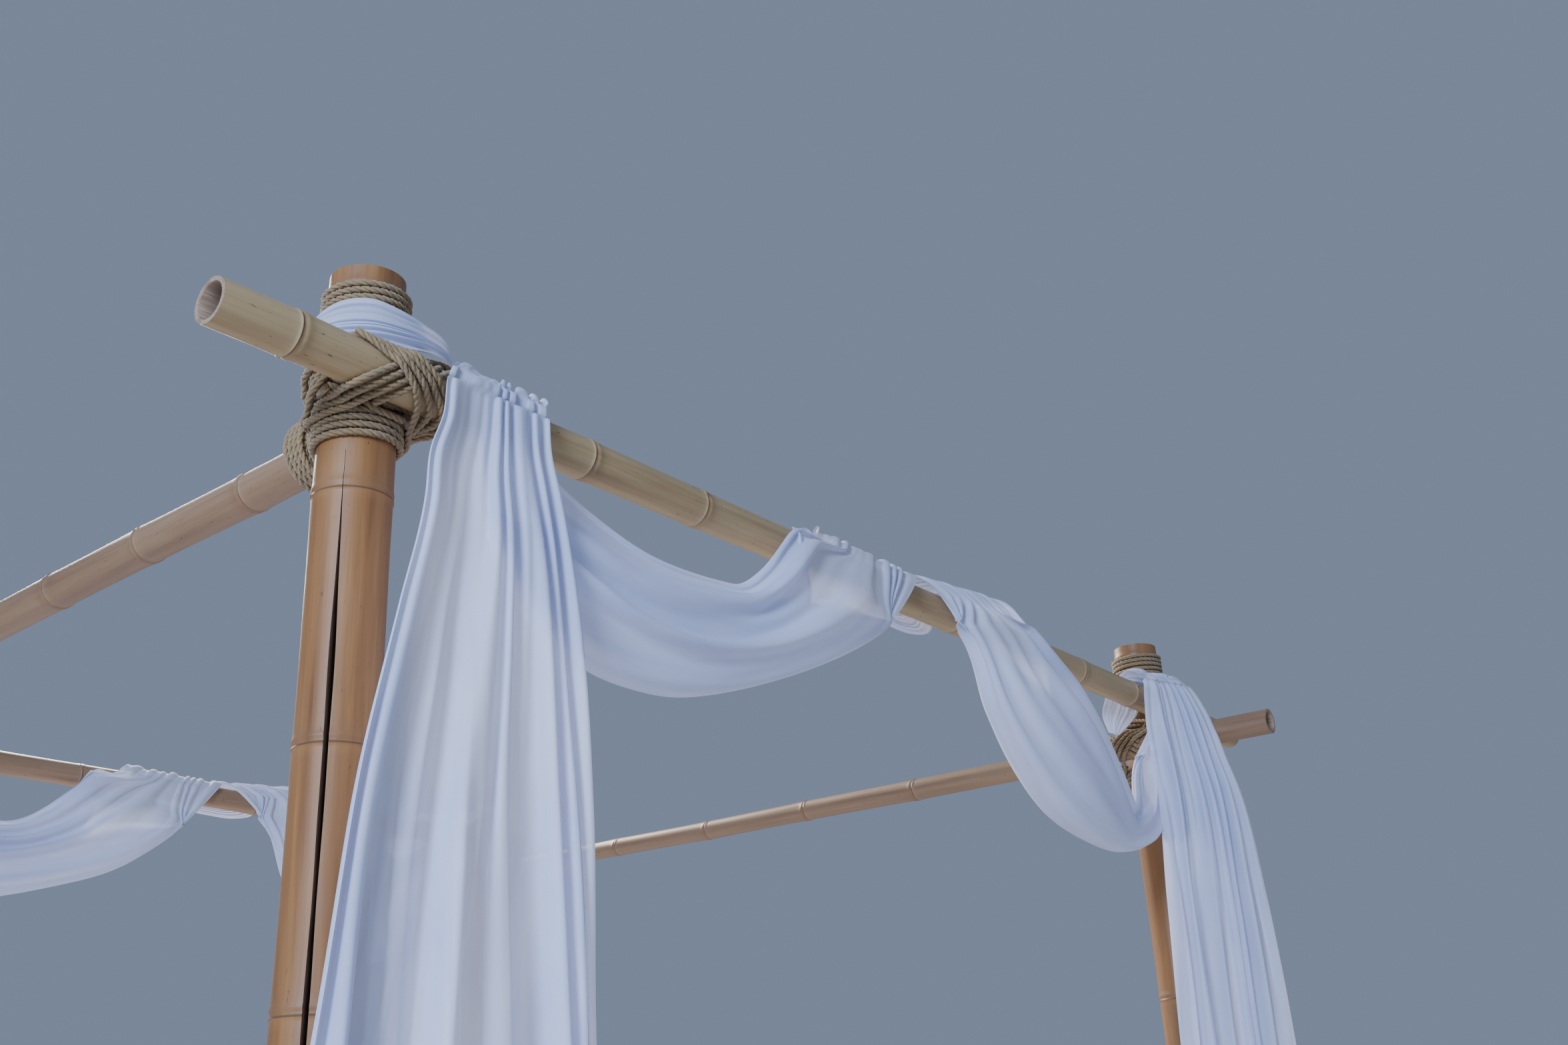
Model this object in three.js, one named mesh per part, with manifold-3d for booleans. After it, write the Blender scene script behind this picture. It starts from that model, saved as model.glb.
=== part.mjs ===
// A four-post bamboo wedding canopy frame with two draped sides.
//
// Millimetres, +Z up. The origin is on the ground at the middle of the four posts, +X runs along
// the front beam from post A to post B, and +Y runs from the front side (A, B) to the back (D, C).
// Four thick culms stand as posts, and four thinner ones are lashed to their upper ends with thick
// natural rope. A long white cloth hangs on the front beam and another on the back beam: each falls
// as a curtain at both posts, and swags twice in between, over the middle of its beam.
import * as THREE from 'three';
import Module from 'manifold-3d';
import { mergeVertices } from 'three/addons/utils/BufferGeometryUtils.js';

const wasm = await Module();
wasm.setup();

// Frame
const SPAN_X = 2440;
const SPAN_Y = 2470;
const POST_HEIGHT = 2455;
const GAP = 0.3;
// The back beam is tied higher than the front one, and its posts stand as much higher
const BACK_RISE = 86;

// Bamboo: a culm is a tube, and each of its nodes is a low ridge
const POST_RADIUS = 53;
const POST_WALL = 12;
const POST_SIDES = 12;
const FOOT_THICKNESS = 30;
const HEAD_DIAPHRAGM = { belowTop: 42, thickness: 12 };
const BEAM_WALL = 7;
const BEAM_SIDES = 10;
const RIDGE_HEIGHT = 1.2;
const RIDGE_WIDTH = 9;
const SPLIT = { width: 7, low: 70, high: 2165 };
// Heights of each post's nodes, shorter internodes towards the root, and where its split faces
const POSTS = {
  a: { x: -1, y: -1, rise: 0, split: 220, nodes: [95, 340, 600, 865, 1145, 1438, 1762, 2110, 2420] },
  b: { x: 1, y: -1, rise: 0, split: 40, nodes: [60, 300, 585, 895, 1225, 1576, 1962, 2420] },
  c: { x: 1, y: 1, rise: BACK_RISE, split: 70, nodes: [85, 330, 590, 860, 1145, 1440, 1760, 2105, 2506] },
  d: { x: -1, y: 1, rise: BACK_RISE, split: 20, nodes: [110, 350, 605, 870, 1150, 1450, 1765, 2110, 2506] },
};
// A beam's radius and height are given at its first and its second post, and its ends, its first node
// and the distance between its nodes along it
const FRONT_Z = 2264;
const BACK_Z = FRONT_Z + BACK_RISE;
const FRONT = { radii: [32, 30], heights: [FRONT_Z, FRONT_Z], from: -1510, to: 1552, first: -1398,
  pitch: 261 };
const BACK = { radii: [32, 31], heights: [BACK_Z, BACK_Z], from: -1590, to: 1560, first: -1390,
  pitch: 284 };
const LEFT = { radii: [32, 34], heights: [2283, 2227], from: -1280, to: 1600, first: -1150, pitch: 297 };
const RIGHT = { radii: [29, 25], heights: [2179, 2208], from: -1590, to: 1530, first: -1340, pitch: 377 };

// Rope
const ROPE = 11;
const HEAD_TURNS = 8;
const HEAD_WRAP_TOP = 2432;
const LASHING_REACH = 64;
const LASHING_FOOT = 26;
// A collar starts this far from its post's axis. Its end turns are one rope thick, the rest more
const COLLAR_REACH = 155;
const COLLAR_TURNS = 8;
const COLLAR_LAYERS = 2.7;

// Cloth
const CLOTH = 9;
const CURTAIN_FOLDS = 4;
const HEM_HEIGHT = 6;
const BITE = 4;
const LOOP_BEHIND = 21;
const MID_SHIFT_BACK = 210;

const postX = SPAN_X / 2;
const postY = SPAN_Y / 2;
const beamOffset = (beam) => POST_RADIUS + Math.max(...beam.radii) + RIDGE_HEIGHT + GAP;
const frontY = -(postY + beamOffset(FRONT));
const backY = postY + beamOffset(BACK);
const leftX = -postX + beamOffset(LEFT);
const rightX = postX - beamOffset(RIGHT);

const bamboo = new THREE.MeshStandardMaterial({ color: 0xc8a472, roughness: 0.5, metalness: 0 });
const bambooBeam = new THREE.MeshStandardMaterial({ color: 0xcbb083, roughness: 0.5, metalness: 0 });
const rope = new THREE.MeshStandardMaterial({ color: 0x9c8355, roughness: 0.9, metalness: 0 });
const voile = new THREE.MeshStandardMaterial({ color: 0xe9ebf5, roughness: 0.8, metalness: 0 });

const canopy = new THREE.Group();

function meshFrom(solid) {
  const { vertProperties, triVerts } = solid.getMesh();
  const geometry = new THREE.BufferGeometry();
  geometry.setAttribute('position', new THREE.BufferAttribute(vertProperties, 3));
  geometry.setIndex(new THREE.BufferAttribute(triVerts, 1));
  geometry.computeVertexNormals();
  return geometry;
}

function solidFrom(geometry) {
  const bare = geometry.clone();
  bare.deleteAttribute('normal');
  bare.deleteAttribute('uv');
  const merged = mergeVertices(bare, 1e-4);
  return new wasm.Manifold(new wasm.Mesh({
    numProp: 3,
    vertProperties: new Float32Array(merged.attributes.position.array),
    triVerts: new Uint32Array(merged.index.array),
  }));
}

function add(name, material, solid) {
  const mesh = new THREE.Mesh(meshFrom(solid), material);
  mesh.name = name;
  canopy.add(mesh);
}

// A solid of revolution about Z whose profile is a list of [radius, height]
function turned(profile, sides) {
  const points = profile.map(([r, z]) => new THREE.Vector2(r, z));
  return new THREE.LatheGeometry(points, sides).rotateX(Math.PI / 2);
}

// The outside of a culm from z = 0 up, with a ridge at each node
function culmProfile(length, radiusAt, nodes, grow) {
  const outline = [[radiusAt(0) + grow, -grow]];
  for (const z of nodes) {
    outline.push([radiusAt(z) + RIDGE_HEIGHT + grow, z]);
    outline.push([radiusAt(z + RIDGE_WIDTH) + grow, z + RIDGE_WIDTH]);
  }
  outline.push([radiusAt(length) + grow, length + grow]);
  return outline;
}

// A post without its hollow, grown all round by a clearance
function postSolid(post, grow = 0) {
  const height = POST_HEIGHT + post.rise;
  const outline = culmProfile(height, () => POST_RADIUS, post.nodes, grow);
  const profile = [[0, -grow], ...outline, [0, height + grow]];
  return solidFrom(turned(profile, POST_SIDES).translate(post.x * postX, post.y * postY, 0));
}

function postHollow(post, low, high) {
  const inner = POST_RADIUS - POST_WALL;
  const bore = turned([[0, low], [inner, low], [inner, high], [0, high]], POST_SIDES);
  return solidFrom(bore.translate(post.x * postX, post.y * postY, 0));
}

function postSplit(post) {
  const slot = new THREE.BoxGeometry(2 * POST_WALL, SPLIT.width, SPLIT.high - SPLIT.low);
  slot.translate(POST_RADIUS - POST_WALL / 2, 0, (SPLIT.high + SPLIT.low) / 2);
  slot.rotateZ(THREE.MathUtils.degToRad(post.split));
  return solidFrom(slot.translate(post.x * postX, post.y * postY, 0));
}

function addPost(name, post) {
  const height = POST_HEIGHT + post.rise;
  const ceiling = height - HEAD_DIAPHRAGM.belowTop;
  const below = postHollow(post, FOOT_THICKNESS, ceiling);
  const above = postHollow(post, ceiling + HEAD_DIAPHRAGM.thickness, height + 1);
  add(name, bamboo, postSolid(post).subtract(below).subtract(above).subtract(postSplit(post)));
}

// A beam lies along X or Y at its place across, and may slope and taper
function beamLine(beam, axis) {
  const span = axis === 'x' ? SPAN_X : SPAN_Y;
  const at = (values, s) => values[0] + (values[1] - values[0]) * (s + span / 2) / span;
  return { height: (s) => at(beam.heights, s), radius: (s) => at(beam.radii, s) };
}

function placeBeam(geometry, beam, axis, across) {
  const line = beamLine(beam, axis);
  const length = beam.to - beam.from;
  const slope = Math.atan2(line.height(beam.to) - line.height(beam.from), length);
  geometry.rotateX(-Math.PI / 2).rotateX(slope);
  if (axis === 'x') geometry.rotateZ(-Math.PI / 2).translate(beam.from, across, line.height(beam.from));
  else geometry.translate(across, beam.from, line.height(beam.from));
  return solidFrom(geometry);
}

function beamSolid(beam, axis, across, grow = 0) {
  const line = beamLine(beam, axis);
  const length = beam.to - beam.from;
  const nodes = [];
  for (let s = beam.first; s < beam.to - RIDGE_WIDTH; s += beam.pitch) nodes.push(s - beam.from);
  const outline = culmProfile(length, (s) => line.radius(beam.from + s), nodes, grow);
  const profile = [[0, -grow], ...outline, [0, length + grow]];
  return placeBeam(turned(profile, BEAM_SIDES), beam, axis, across);
}

function addBeam(name, beam, axis, across) {
  const inner = Math.min(...beam.radii) - BEAM_WALL;
  const length = beam.to - beam.from;
  const bore = turned([[0, -1], [inner, -1], [inner, length + 1], [0, length + 1]], BEAM_SIDES);
  add(name, bambooBeam, beamSolid(beam, axis, across).subtract(placeBeam(bore, beam, axis, across)));
}

// Turns of rope side by side, as the outline of a sleeve from z = 0 up
function coilProfile(inner, turns, layers = () => 1) {
  const outer = (turn) => inner + ROPE * layers(turn);
  const groove = (turn) => Math.min(outer(turn), outer(turn + 1)) - ROPE * 0.28;
  const profile = [[inner, 0]];
  for (let turn = 0; turn < turns; turn += 1) {
    profile.push([outer(turn), (turn + 0.5) * ROPE]);
    if (turn < turns - 1) profile.push([groove(turn), (turn + 1) * ROPE]);
  }
  profile.push([inner, turns * ROPE], [inner, 0]);
  return profile;
}

function addHeadRope(name, post) {
  const coil = turned(coilProfile(POST_RADIUS + GAP, HEAD_TURNS), POST_SIDES);
  coil.translate(post.x * postX, post.y * postY, HEAD_WRAP_TOP + post.rise - HEAD_TURNS * ROPE);
  const ridged = solidFrom(coil).subtract(postSolid(post, GAP));
  add(name, rope, ridged);
}

// One corner's lashing: sleeves round the post and both beams, joined where they meet
function sleeve(radius, length, sides) {
  const bevel = ROPE / 2;
  const profile = [[0, -length / 2], [radius - bevel, -length / 2], [radius, bevel - length / 2]];
  profile.push([radius, length / 2 - bevel], [radius - bevel, length / 2], [0, length / 2]);
  return turned(profile, sides);
}

function lashingSolid(post, side, sideBeam, grow = 0) {
  const x = post.x * postX;
  const y = post.y * postY;
  const along = beamLine(side.beam, 'x');
  const across = beamLine(sideBeam.beam, 'y');
  const heights = [along.height(x), across.height(y)];
  const high = HEAD_WRAP_TOP + post.rise - HEAD_TURNS * ROPE - GAP;
  const low = Math.min(...heights) - LASHING_REACH - LASHING_FOOT;
  const around = sleeve(POST_RADIUS + ROPE + grow, high - low + 2 * grow, POST_SIDES);
  const overX = sleeve(along.radius(x) + ROPE + grow, 2 * (LASHING_REACH + grow), BEAM_SIDES);
  const overY = sleeve(across.radius(y) + ROPE + grow, 2 * (LASHING_REACH + grow), BEAM_SIDES);
  around.translate(x, y, (high + low) / 2);
  overX.rotateX(-Math.PI / 2).rotateZ(-Math.PI / 2).translate(x, side.y, heights[0]);
  overY.rotateX(-Math.PI / 2).translate(sideBeam.x, y, heights[1]);
  return solidFrom(around).add(solidFrom(overX)).add(solidFrom(overY));
}

function addLashing(name, post, side, sideBeam) {
  const beams = beamSolid(side.beam, 'x', side.y, GAP).add(beamSolid(sideBeam.beam, 'y', sideBeam.x, GAP));
  const solid = lashingSolid(post, side, sideBeam).subtract(postSolid(post, GAP)).subtract(beams);
  add(name, rope, solid);
}

// A thick bunch of rope turns round a side beam, a little way inside its post
function addCollar(name, post, { beam, x: across }) {
  const line = beamLine(beam, 'y');
  const start = post.y * (postY - COLLAR_REACH) - (post.y > 0 ? COLLAR_TURNS * ROPE : 0);
  const layers = (turn) => (turn % (COLLAR_TURNS - 1) === 0 ? 1 : COLLAR_LAYERS);
  const coil = turned(coilProfile(line.radius(start) - 2, COLLAR_TURNS, layers), BEAM_SIDES);
  coil.rotateX(-Math.PI / 2).translate(across, start, line.height(start + COLLAR_TURNS * ROPE / 2));
  add(name, rope, solidFrom(coil).subtract(beamSolid(beam, 'y', across, GAP)));
}

// A folded band of cloth. Each station gives its two edges, the way it faces, and the depth of its
// folds. The section is a wavy strip of the cloth's gathered thickness, grown by a clearance.
function band(stations, folds, grow = 0) {
  const steps = folds * 4;
  const positions = [];
  for (const { left, right, face, depth, thick = CLOTH } of stations) {
    const from = new THREE.Vector3(...left);
    const to = new THREE.Vector3(...right);
    const normal = new THREE.Vector3(...face).normalize();
    const along = to.clone().sub(from).normalize();
    for (const side of [1, -1]) {
      for (let i = 0; i <= steps; i += 1) {
        const wave = depth * Math.cos(2 * Math.PI * folds * i / steps);
        const point = from.clone().lerp(to, i / steps);
        point.addScaledVector(normal, wave + side * (thick / 2 + grow));
        if (i === 0) point.addScaledVector(along, -grow);
        if (i === steps) point.addScaledVector(along, grow);
        positions.push(point.x, point.y, point.z);
      }
    }
  }
  const count = steps + 1;
  const at = (station, side, i) => (station * 2 + side) * count + i;
  const index = [];
  const quad = (a, b, c, d) => index.push(a, b, c, a, c, d);
  for (let k = 0; k + 1 < stations.length; k += 1) {
    for (let i = 0; i < steps; i += 1) {
      quad(at(k, 0, i), at(k, 0, i + 1), at(k + 1, 0, i + 1), at(k + 1, 0, i));
      quad(at(k, 1, i + 1), at(k, 1, i), at(k + 1, 1, i), at(k + 1, 1, i + 1));
    }
    quad(at(k, 1, 0), at(k, 0, 0), at(k + 1, 0, 0), at(k + 1, 1, 0));
    quad(at(k, 0, steps), at(k, 1, steps), at(k + 1, 1, steps), at(k + 1, 0, steps));
  }
  const last = stations.length - 1;
  for (let i = 0; i < steps; i += 1) {
    quad(at(0, 0, i + 1), at(0, 0, i), at(0, 1, i), at(0, 1, i + 1));
    quad(at(last, 0, i), at(last, 0, i + 1), at(last, 1, i + 1), at(last, 1, i));
  }
  const geometry = new THREE.BufferGeometry();
  geometry.setAttribute('position', new THREE.Float32BufferAttribute(positions, 3));
  geometry.setIndex(signedVolume(positions, index) > 0 ? index : index.reverse());
  return solidFrom(geometry);
}

function signedVolume(positions, index) {
  const corner = (i) => new THREE.Vector3().fromArray(positions, 3 * index[i]);
  let volume = 0;
  for (let i = 0; i < index.length; i += 3) volume += corner(i).dot(corner(i + 1).cross(corner(i + 2)));
  return volume;
}

// Where a cloth goes over its beam: the station at an angle round the beam, 0 in front, 90 on top.
// Its folds bite a little into the beam, and are cut back to rest on it.
function overBeam(side, angle, xLow, xHigh, depth, lift = 0) {
  const turn = THREE.MathUtils.degToRad(angle);
  const face = [0, -Math.cos(turn), Math.sin(turn)];
  const reach = side.radius + RIDGE_HEIGHT - BITE + CLOTH / 2 + depth + lift;
  const at = (x) => [x, side.y + face[1] * reach, side.z + face[2] * reach];
  return { left: at(xLow), right: at(xHigh), face, depth };
}

// Each side's own values: its beam, how far the middle of its cloth is shifted, and its posts
const sides = {
  front: { beam: FRONT, y: frontY, shift: 0, posts: [POSTS.a, POSTS.b] },
  back: { beam: BACK, y: backY, shift: MID_SHIFT_BACK, posts: [POSTS.d, POSTS.c] },
};
for (const side of Object.values(sides)) {
  [side.z] = side.beam.heights;
  [side.radius] = side.beam.radii;
}
const left = { beam: LEFT, x: leftX };
const right = { beam: RIGHT, x: rightX };

// Heights in the cloth are written for the front beam and follow the beam of their side
const drop = (side, z) => z + side.z - FRONT_Z;
const nudge = (side, x) => x + side.shift * THREE.MathUtils.clamp((750 - Math.abs(x)) / 400, 0, 1);

// A station of a swag: the lower and the upper edge as [x, z], and how far it stands from the beam
function hung(side, low, high, out, depth) {
  const at = ([x, z]) => [nudge(side, x), side.y - out, drop(side, z)];
  return { left: at(low), right: at(high), face: [0, -1, 0], depth };
}

function leftSwag(side, grow = 0) {
  const start = side === sides.back ? -1010 : -1050;
  return band([
    hung(side, [start, 2080], [start, 2215], 0, 5),
    hung(side, [-975, 1985], [-975, 2190], 0, 10),
    hung(side, [-880, 1930], [-880, 2150], 10, 16),
    hung(side, [-750, 1910], [-750, 2120], 24, 20),
    hung(side, [-600, 1935], [-600, 2142], 32, 20),
    hung(side, [-460, 1985], [-500, 2160], 44, 18),
    hung(side, [-340, 2048], [-450, 2205], 58, 16),
    hung(side, [-225, 2118], [-395, 2262], 62, 13),
    hung(side, [-130, 2182], [-325, 2300], 57, 10),
    overBeam(side, 45, nudge(side, -25), nudge(side, -295), 6, 6),
    overBeam(side, 90, nudge(side, 15), nudge(side, -260), 6),
    overBeam(side, 140, nudge(side, 5), nudge(side, -190), 5),
    overBeam(side, 195, nudge(side, -30), nudge(side, -130), 5),
  ], 3, grow);
}

function rightSwag(side, grow = 0) {
  const end = side === sides.back ? -35 : 0;
  return band([
    overBeam(side, 195, nudge(side, 30), nudge(side, 140), 5),
    overBeam(side, 140, nudge(side, 30), nudge(side, 210), 6, 6),
    overBeam(side, 90, nudge(side, 40), nudge(side, 320), 8, 16),
    overBeam(side, 45, nudge(side, 70), nudge(side, 400), 10, 18),
    hung(side, [135, 2206], [470, 2300], 62, 12),
    hung(side, [211, 2064], [551, 2250], 66, 16),
    hung(side, [300, 1965], [630, 2205], 66, 18),
    hung(side, [439, 1882], [700, 2165], 60, 20),
    hung(side, [600, 1852], [770, 2100], 52, 20),
    hung(side, [750, 1858], [808, 2030], 40, 18),
    hung(side, [895, 1915], [835, 2015], 26, 14),
    hung(side, [980 + end, 2030], [875 + end, 2080], 12, 10),
    hung(side, [1030 + end, 2120], [945 + end, 2145], 2, 8),
    hung(side, [1068 + end, 2185], [1010 + end, 2200], 0, 6),
  ], 3, grow);
}

// The cloth behind the beam's middle, between its two crossings
function midWrap(side) {
  const at = (x, low, high) => {
    const place = (z) => [nudge(side, x), side.y + side.radius + LOOP_BEHIND, drop(side, z)];
    return { left: place(low), right: place(high), face: [0, 1, 0], depth: 5 };
  };
  const falling = [at(-135, 2228, 2272), at(-95, 2221, 2266), at(-40, 2216, 2262)];
  const rising = [at(50, 2216, 2262), at(100, 2221, 2266), at(140, 2228, 2272)];
  return band([...falling, ...rising], 2);
}

// A curtain from hem to beam, and on over it. Each edge row is a height, then the left and the
// right edge as [x, how far out from the beam], then the depth of the folds.
function curtain(side, { edges, top, over, tail = [] }, grow = 0) {
  const stations = edges.map(([z, from, to, depth]) => {
    const at = ([x, out]) => [x, side.y - out, z === HEM_HEIGHT ? z : drop(side, z)];
    return { left: at(from), right: at(to), face: [from[1] - to[1], from[0] - to[0], 0], depth };
  });
  for (const angle of over) stations.push(overBeam(side, angle, top[0], top[1], 6));
  for (const z of tail) {
    const at = (x) => [x, side.y + side.radius + 16, drop(side, z)];
    stations.push({ left: at(top[0]), right: at(top[1]), face: [0, 1, 0], depth: 6 });
  }
  return band(stations, CURTAIN_FOLDS, grow);
}

const CURTAINS = {
  front_left: {
    edges: [
      [HEM_HEIGHT, [-1410, 78], [-835, 78], 26],
      [700, [-1400, 76], [-860, 76], 25],
      [1409, [-1338, 72], [-900, 72], 24],
      [1690, [-1308, 68], [-910, 68], 22],
      [1916, [-1250, 64], [-928, 64], 18],
      [2100, [-1196, 60], [-968, 60], 14],
      [2215, [-1160, 54], [-1000, 54], 9],
    ],
    top: [-1148, -1010], over: [20, 60, 90, 105],
  },
  front_right: {
    edges: [
      [HEM_HEIGHT, [830, 60], [1080, 248], 24],
      [700, [850, 58], [1088, 242], 24],
      [1440, [889, 56], [1094, 222], 24],
      [1780, [935, 56], [1096, 204], 21],
      [2030, [968, 54], [1096, 172], 17],
      [2180, [972, 54], [1096, 130], 12],
      [2250, [975, 54], [1098, 84], 9],
    ],
    top: [978, 1096], over: [45, 90, 135, 180], tail: [2215, 2170],
  },
  back_left: {
    edges: [
      [HEM_HEIGHT, [-1130, 78], [-730, 78], 26],
      [1400, [-1120, 74], [-770, 74], 24],
      [1900, [-1100, 66], [-860, 66], 18],
      [2060, [-1084, 58], [-930, 58], 12],
      [2215, [-1082, 54], [-960, 54], 9],
    ],
    top: [-1080, -965], over: [20, 60, 90, 120],
  },
  back_right: {
    edges: [
      [HEM_HEIGHT, [700, 78], [1130, 78], 26],
      [1400, [745, 74], [1120, 74], 24],
      [1900, [850, 72], [1098, 72], 18],
      [2060, [925, 62], [1090, 62], 12],
      [2215, [955, 54], [1088, 54], 9],
    ],
    top: [960, 1086], over: [20, 60, 90, 120],
  },
};

// The cloth round a post's head, and the sash from there to the top of its curtain
const HEAD_CLOTH = { low: 2332, high: 2382, thick: 10, bulge: 3 };
// The sash, as [inward from the post's axis, out from it, its lower and its upper edge]
const SASH = [[45, 50, 2334, 2379], [90, 58, 2332, 2373], [140, 70, 2327, 2357], [185, 84, 2321, 2338]];
const SASH_TURN = 0.4;

function headClothSolid(side, post) {
  const inner = POST_RADIUS + ROPE + 2 * GAP;
  const { low, high, thick, bulge } = HEAD_CLOTH;
  const profile = [[inner, low], [inner + thick, low], [inner + thick + bulge, (low + high) / 2]];
  profile.push([inner + thick * 0.7, high], [inner, high], [inner, low]);
  const x = post.x * postX;
  const y = post.y * postY;
  const toBeam = Math.sign(side.y - y);
  const ring = solidFrom(turned(profile, POST_SIDES).translate(x, y, post.rise));
  const stations = SASH.map(([inward, out, bottom, top]) => {
    const at = (z) => [x - post.x * inward, y + toBeam * out, z + post.rise];
    return { left: at(bottom), right: at(top), face: [-post.x * SASH_TURN, toBeam, 0], depth: 3 };
  });
  const [under, over] = [low - thick, high + thick];
  const core = turned([[0, under], [inner, under], [inner, over], [0, over]], POST_SIDES);
  return ring.add(band(stations, 2).subtract(solidFrom(core.translate(x, y, post.rise))));
}

function addSide(name, side) {
  const leftCurtain = CURTAINS[`${name}_left`];
  const rightCurtain = CURTAINS[`${name}_right`];
  const beam = beamSolid(side.beam, 'x', side.y, GAP);
  add(`${name}_curtain_left`, voile, curtain(side, leftCurtain).subtract(beam));
  add(`${name}_swag_left`, voile, leftSwag(side).subtract(beam));
  const loop = midWrap(side).subtract(leftSwag(side, GAP)).subtract(rightSwag(side, GAP));
  add(`${name}_swag_back_loop`, voile, loop);
  add(`${name}_swag_right`, voile, rightSwag(side).subtract(beam));
  add(`${name}_curtain_right`, voile, curtain(side, rightCurtain).subtract(beam));
  const heads = [['left', leftCurtain, left], ['right', rightCurtain, right]];
  heads.forEach(([place, fall, sideBeam], index) => {
    const post = side.posts[index];
    const head = headClothSolid(side, post).subtract(curtain(side, fall, GAP));
    add(`${name}_head_cloth_${place}`, voile, head.subtract(lashingSolid(post, side, sideBeam, GAP)));
  });
}

for (const [letter, post] of Object.entries(POSTS)) {
  const side = post.y < 0 ? sides.front : sides.back;
  const sideBeam = post.x < 0 ? left : right;
  addPost(`post_${letter}`, post);
  addHeadRope(`head_rope_${letter}`, post);
  addLashing(`corner_lashing_${letter}`, post, side, sideBeam);
  addCollar(`rope_collar_${letter}`, post, sideBeam);
}
addBeam('front_beam', FRONT, 'x', frontY);
addBeam('back_beam', BACK, 'x', backY);
addBeam('left_beam', LEFT, 'y', leftX);
addBeam('right_beam', RIGHT, 'y', rightX);
for (const [name, side] of Object.entries(sides)) addSide(name, side);

export default canopy;
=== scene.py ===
"""A four-post bamboo canopy frame, lashed with rope, with sheer white cloth draped on two sides."""

import math

import bpy
import numpy as np
from mathutils import Matrix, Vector
from mathutils.geometry import convex_hull_2d
from mathutils.kdtree import KDTree


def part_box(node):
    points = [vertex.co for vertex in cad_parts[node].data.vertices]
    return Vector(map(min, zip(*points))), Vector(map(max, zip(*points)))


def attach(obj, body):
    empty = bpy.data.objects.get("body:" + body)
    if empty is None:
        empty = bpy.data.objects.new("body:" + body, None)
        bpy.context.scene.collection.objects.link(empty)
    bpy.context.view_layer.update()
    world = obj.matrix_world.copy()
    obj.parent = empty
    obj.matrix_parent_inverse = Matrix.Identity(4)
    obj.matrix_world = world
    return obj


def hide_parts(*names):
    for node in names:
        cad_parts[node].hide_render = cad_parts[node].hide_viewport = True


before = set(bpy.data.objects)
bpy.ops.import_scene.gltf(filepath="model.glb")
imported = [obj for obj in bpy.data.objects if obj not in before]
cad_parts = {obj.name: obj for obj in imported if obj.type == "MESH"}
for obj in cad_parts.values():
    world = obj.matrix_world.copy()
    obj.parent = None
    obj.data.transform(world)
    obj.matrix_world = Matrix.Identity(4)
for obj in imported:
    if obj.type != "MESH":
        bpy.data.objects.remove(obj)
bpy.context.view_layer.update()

MM = 0.001
TURN = 2 * math.pi

# Posts: the heights of their nodes, and where each one's long split faces, in degrees
POST_RADIUS = 53 * MM
POST_WALL = 12 * MM
HEAD_CUP = 42 * MM
SPLIT = {"width": 7 * MM, "low": 70 * MM, "high": 2165 * MM, "depth": 20 * MM}
POSTS = {
    "a": {"split": 220, "nodes": [95, 340, 600, 865, 1145, 1438, 1762, 2110, 2420]},
    "b": {"split": 40, "nodes": [60, 300, 585, 895, 1225, 1576, 1962, 2420]},
    "c": {"split": 70, "nodes": [85, 330, 590, 860, 1145, 1440, 1760, 2105, 2506]},
    "d": {"split": 20, "nodes": [110, 350, 605, 870, 1150, 1450, 1765, 2110, 2506]},
}

# Beams: radii and heights at their first and second post, the first node and the nodes' pitch
BEAM_WALL = 7 * MM
BEAMS = {
    "front_beam": {"axis": 0, "radii": (32, 30), "heights": (2264, 2264), "first": -1398, "pitch": 261},
    "back_beam": {"axis": 0, "radii": (32, 31), "heights": (2350, 2350), "first": -1390, "pitch": 284},
    "left_beam": {"axis": 1, "radii": (32, 34), "heights": (2283, 2227), "first": -1150, "pitch": 297},
    "right_beam": {"axis": 1, "radii": (29, 25), "heights": (2179, 2208), "first": -1340, "pitch": 377},
}

# Rope: its radius, the pitch of its turns, the steps of its mesh and the length in which it twists once
ROPE_RADIUS = 5.5 * MM
ROPE_PITCH = 11.2 * MM
ROPE_STEP = 6.4 * MM
LAY_LENGTH = 38 * MM
HEAD_WRAP = {"below_top": 23 * MM, "turns": 8}
COLLAR_LAYERS = 3
PATH_STEP = 4 * MM
# Ropes that lie on others: the rounds in which they settle, how far apart their middles end, how far
# a round lifts them, how far off a culm's surface still counts in which way is out, and a place that
# no rope is near
SETTLE_ROUNDS = 14
NEST = 1.86 * ROPE_RADIUS
LIFT_STEP = 1.2 * MM
CULM_PULL = 12 * MM
FAR_AWAY = (99.0, 99.0, 99.0)
# A lashing's turns: round the post below and above the beams, and across the post and each beam, with
# their tilt in radians and how far they are moved along the way that they advance. The middle of the
# crossing ones lies beside the post's axis, towards the beam.
BELOW_TURNS = 3.8
ABOVE_TURNS = 1.6
CROSSING_TURNS = 3.9
CROSSINGS = [("side", 0.62, 5 * MM), ("main", 0.6, 5 * MM), ("side", -0.64, 0.0), ("main", -0.58, 0.0)]
CROSSING_MIDDLE = 40 * MM


def spline(values, knots, at):
    """Smooth values through their knots, with the tangent at each taken from its neighbours."""
    values, knots = np.asarray(values, float), np.asarray(knots, float)
    slopes = np.gradient(values, knots, axis=0)
    k = np.clip(np.searchsorted(knots, at) - 1, 0, len(knots) - 2)
    gap = (knots[k + 1] - knots[k])[:, None]
    t = (np.asarray(at)[:, None] - knots[k][:, None]) / gap
    flat = values.reshape(len(knots), -1)
    slopes = slopes.reshape(len(knots), -1)
    a = (2 * t**3 - 3 * t**2 + 1) * flat[k] + (t**3 - 2 * t**2 + t) * gap * slopes[k]
    b = (3 * t**2 - 2 * t**3) * flat[k + 1] + (t**3 - t**2) * gap * slopes[k + 1]
    return a + b


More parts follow.
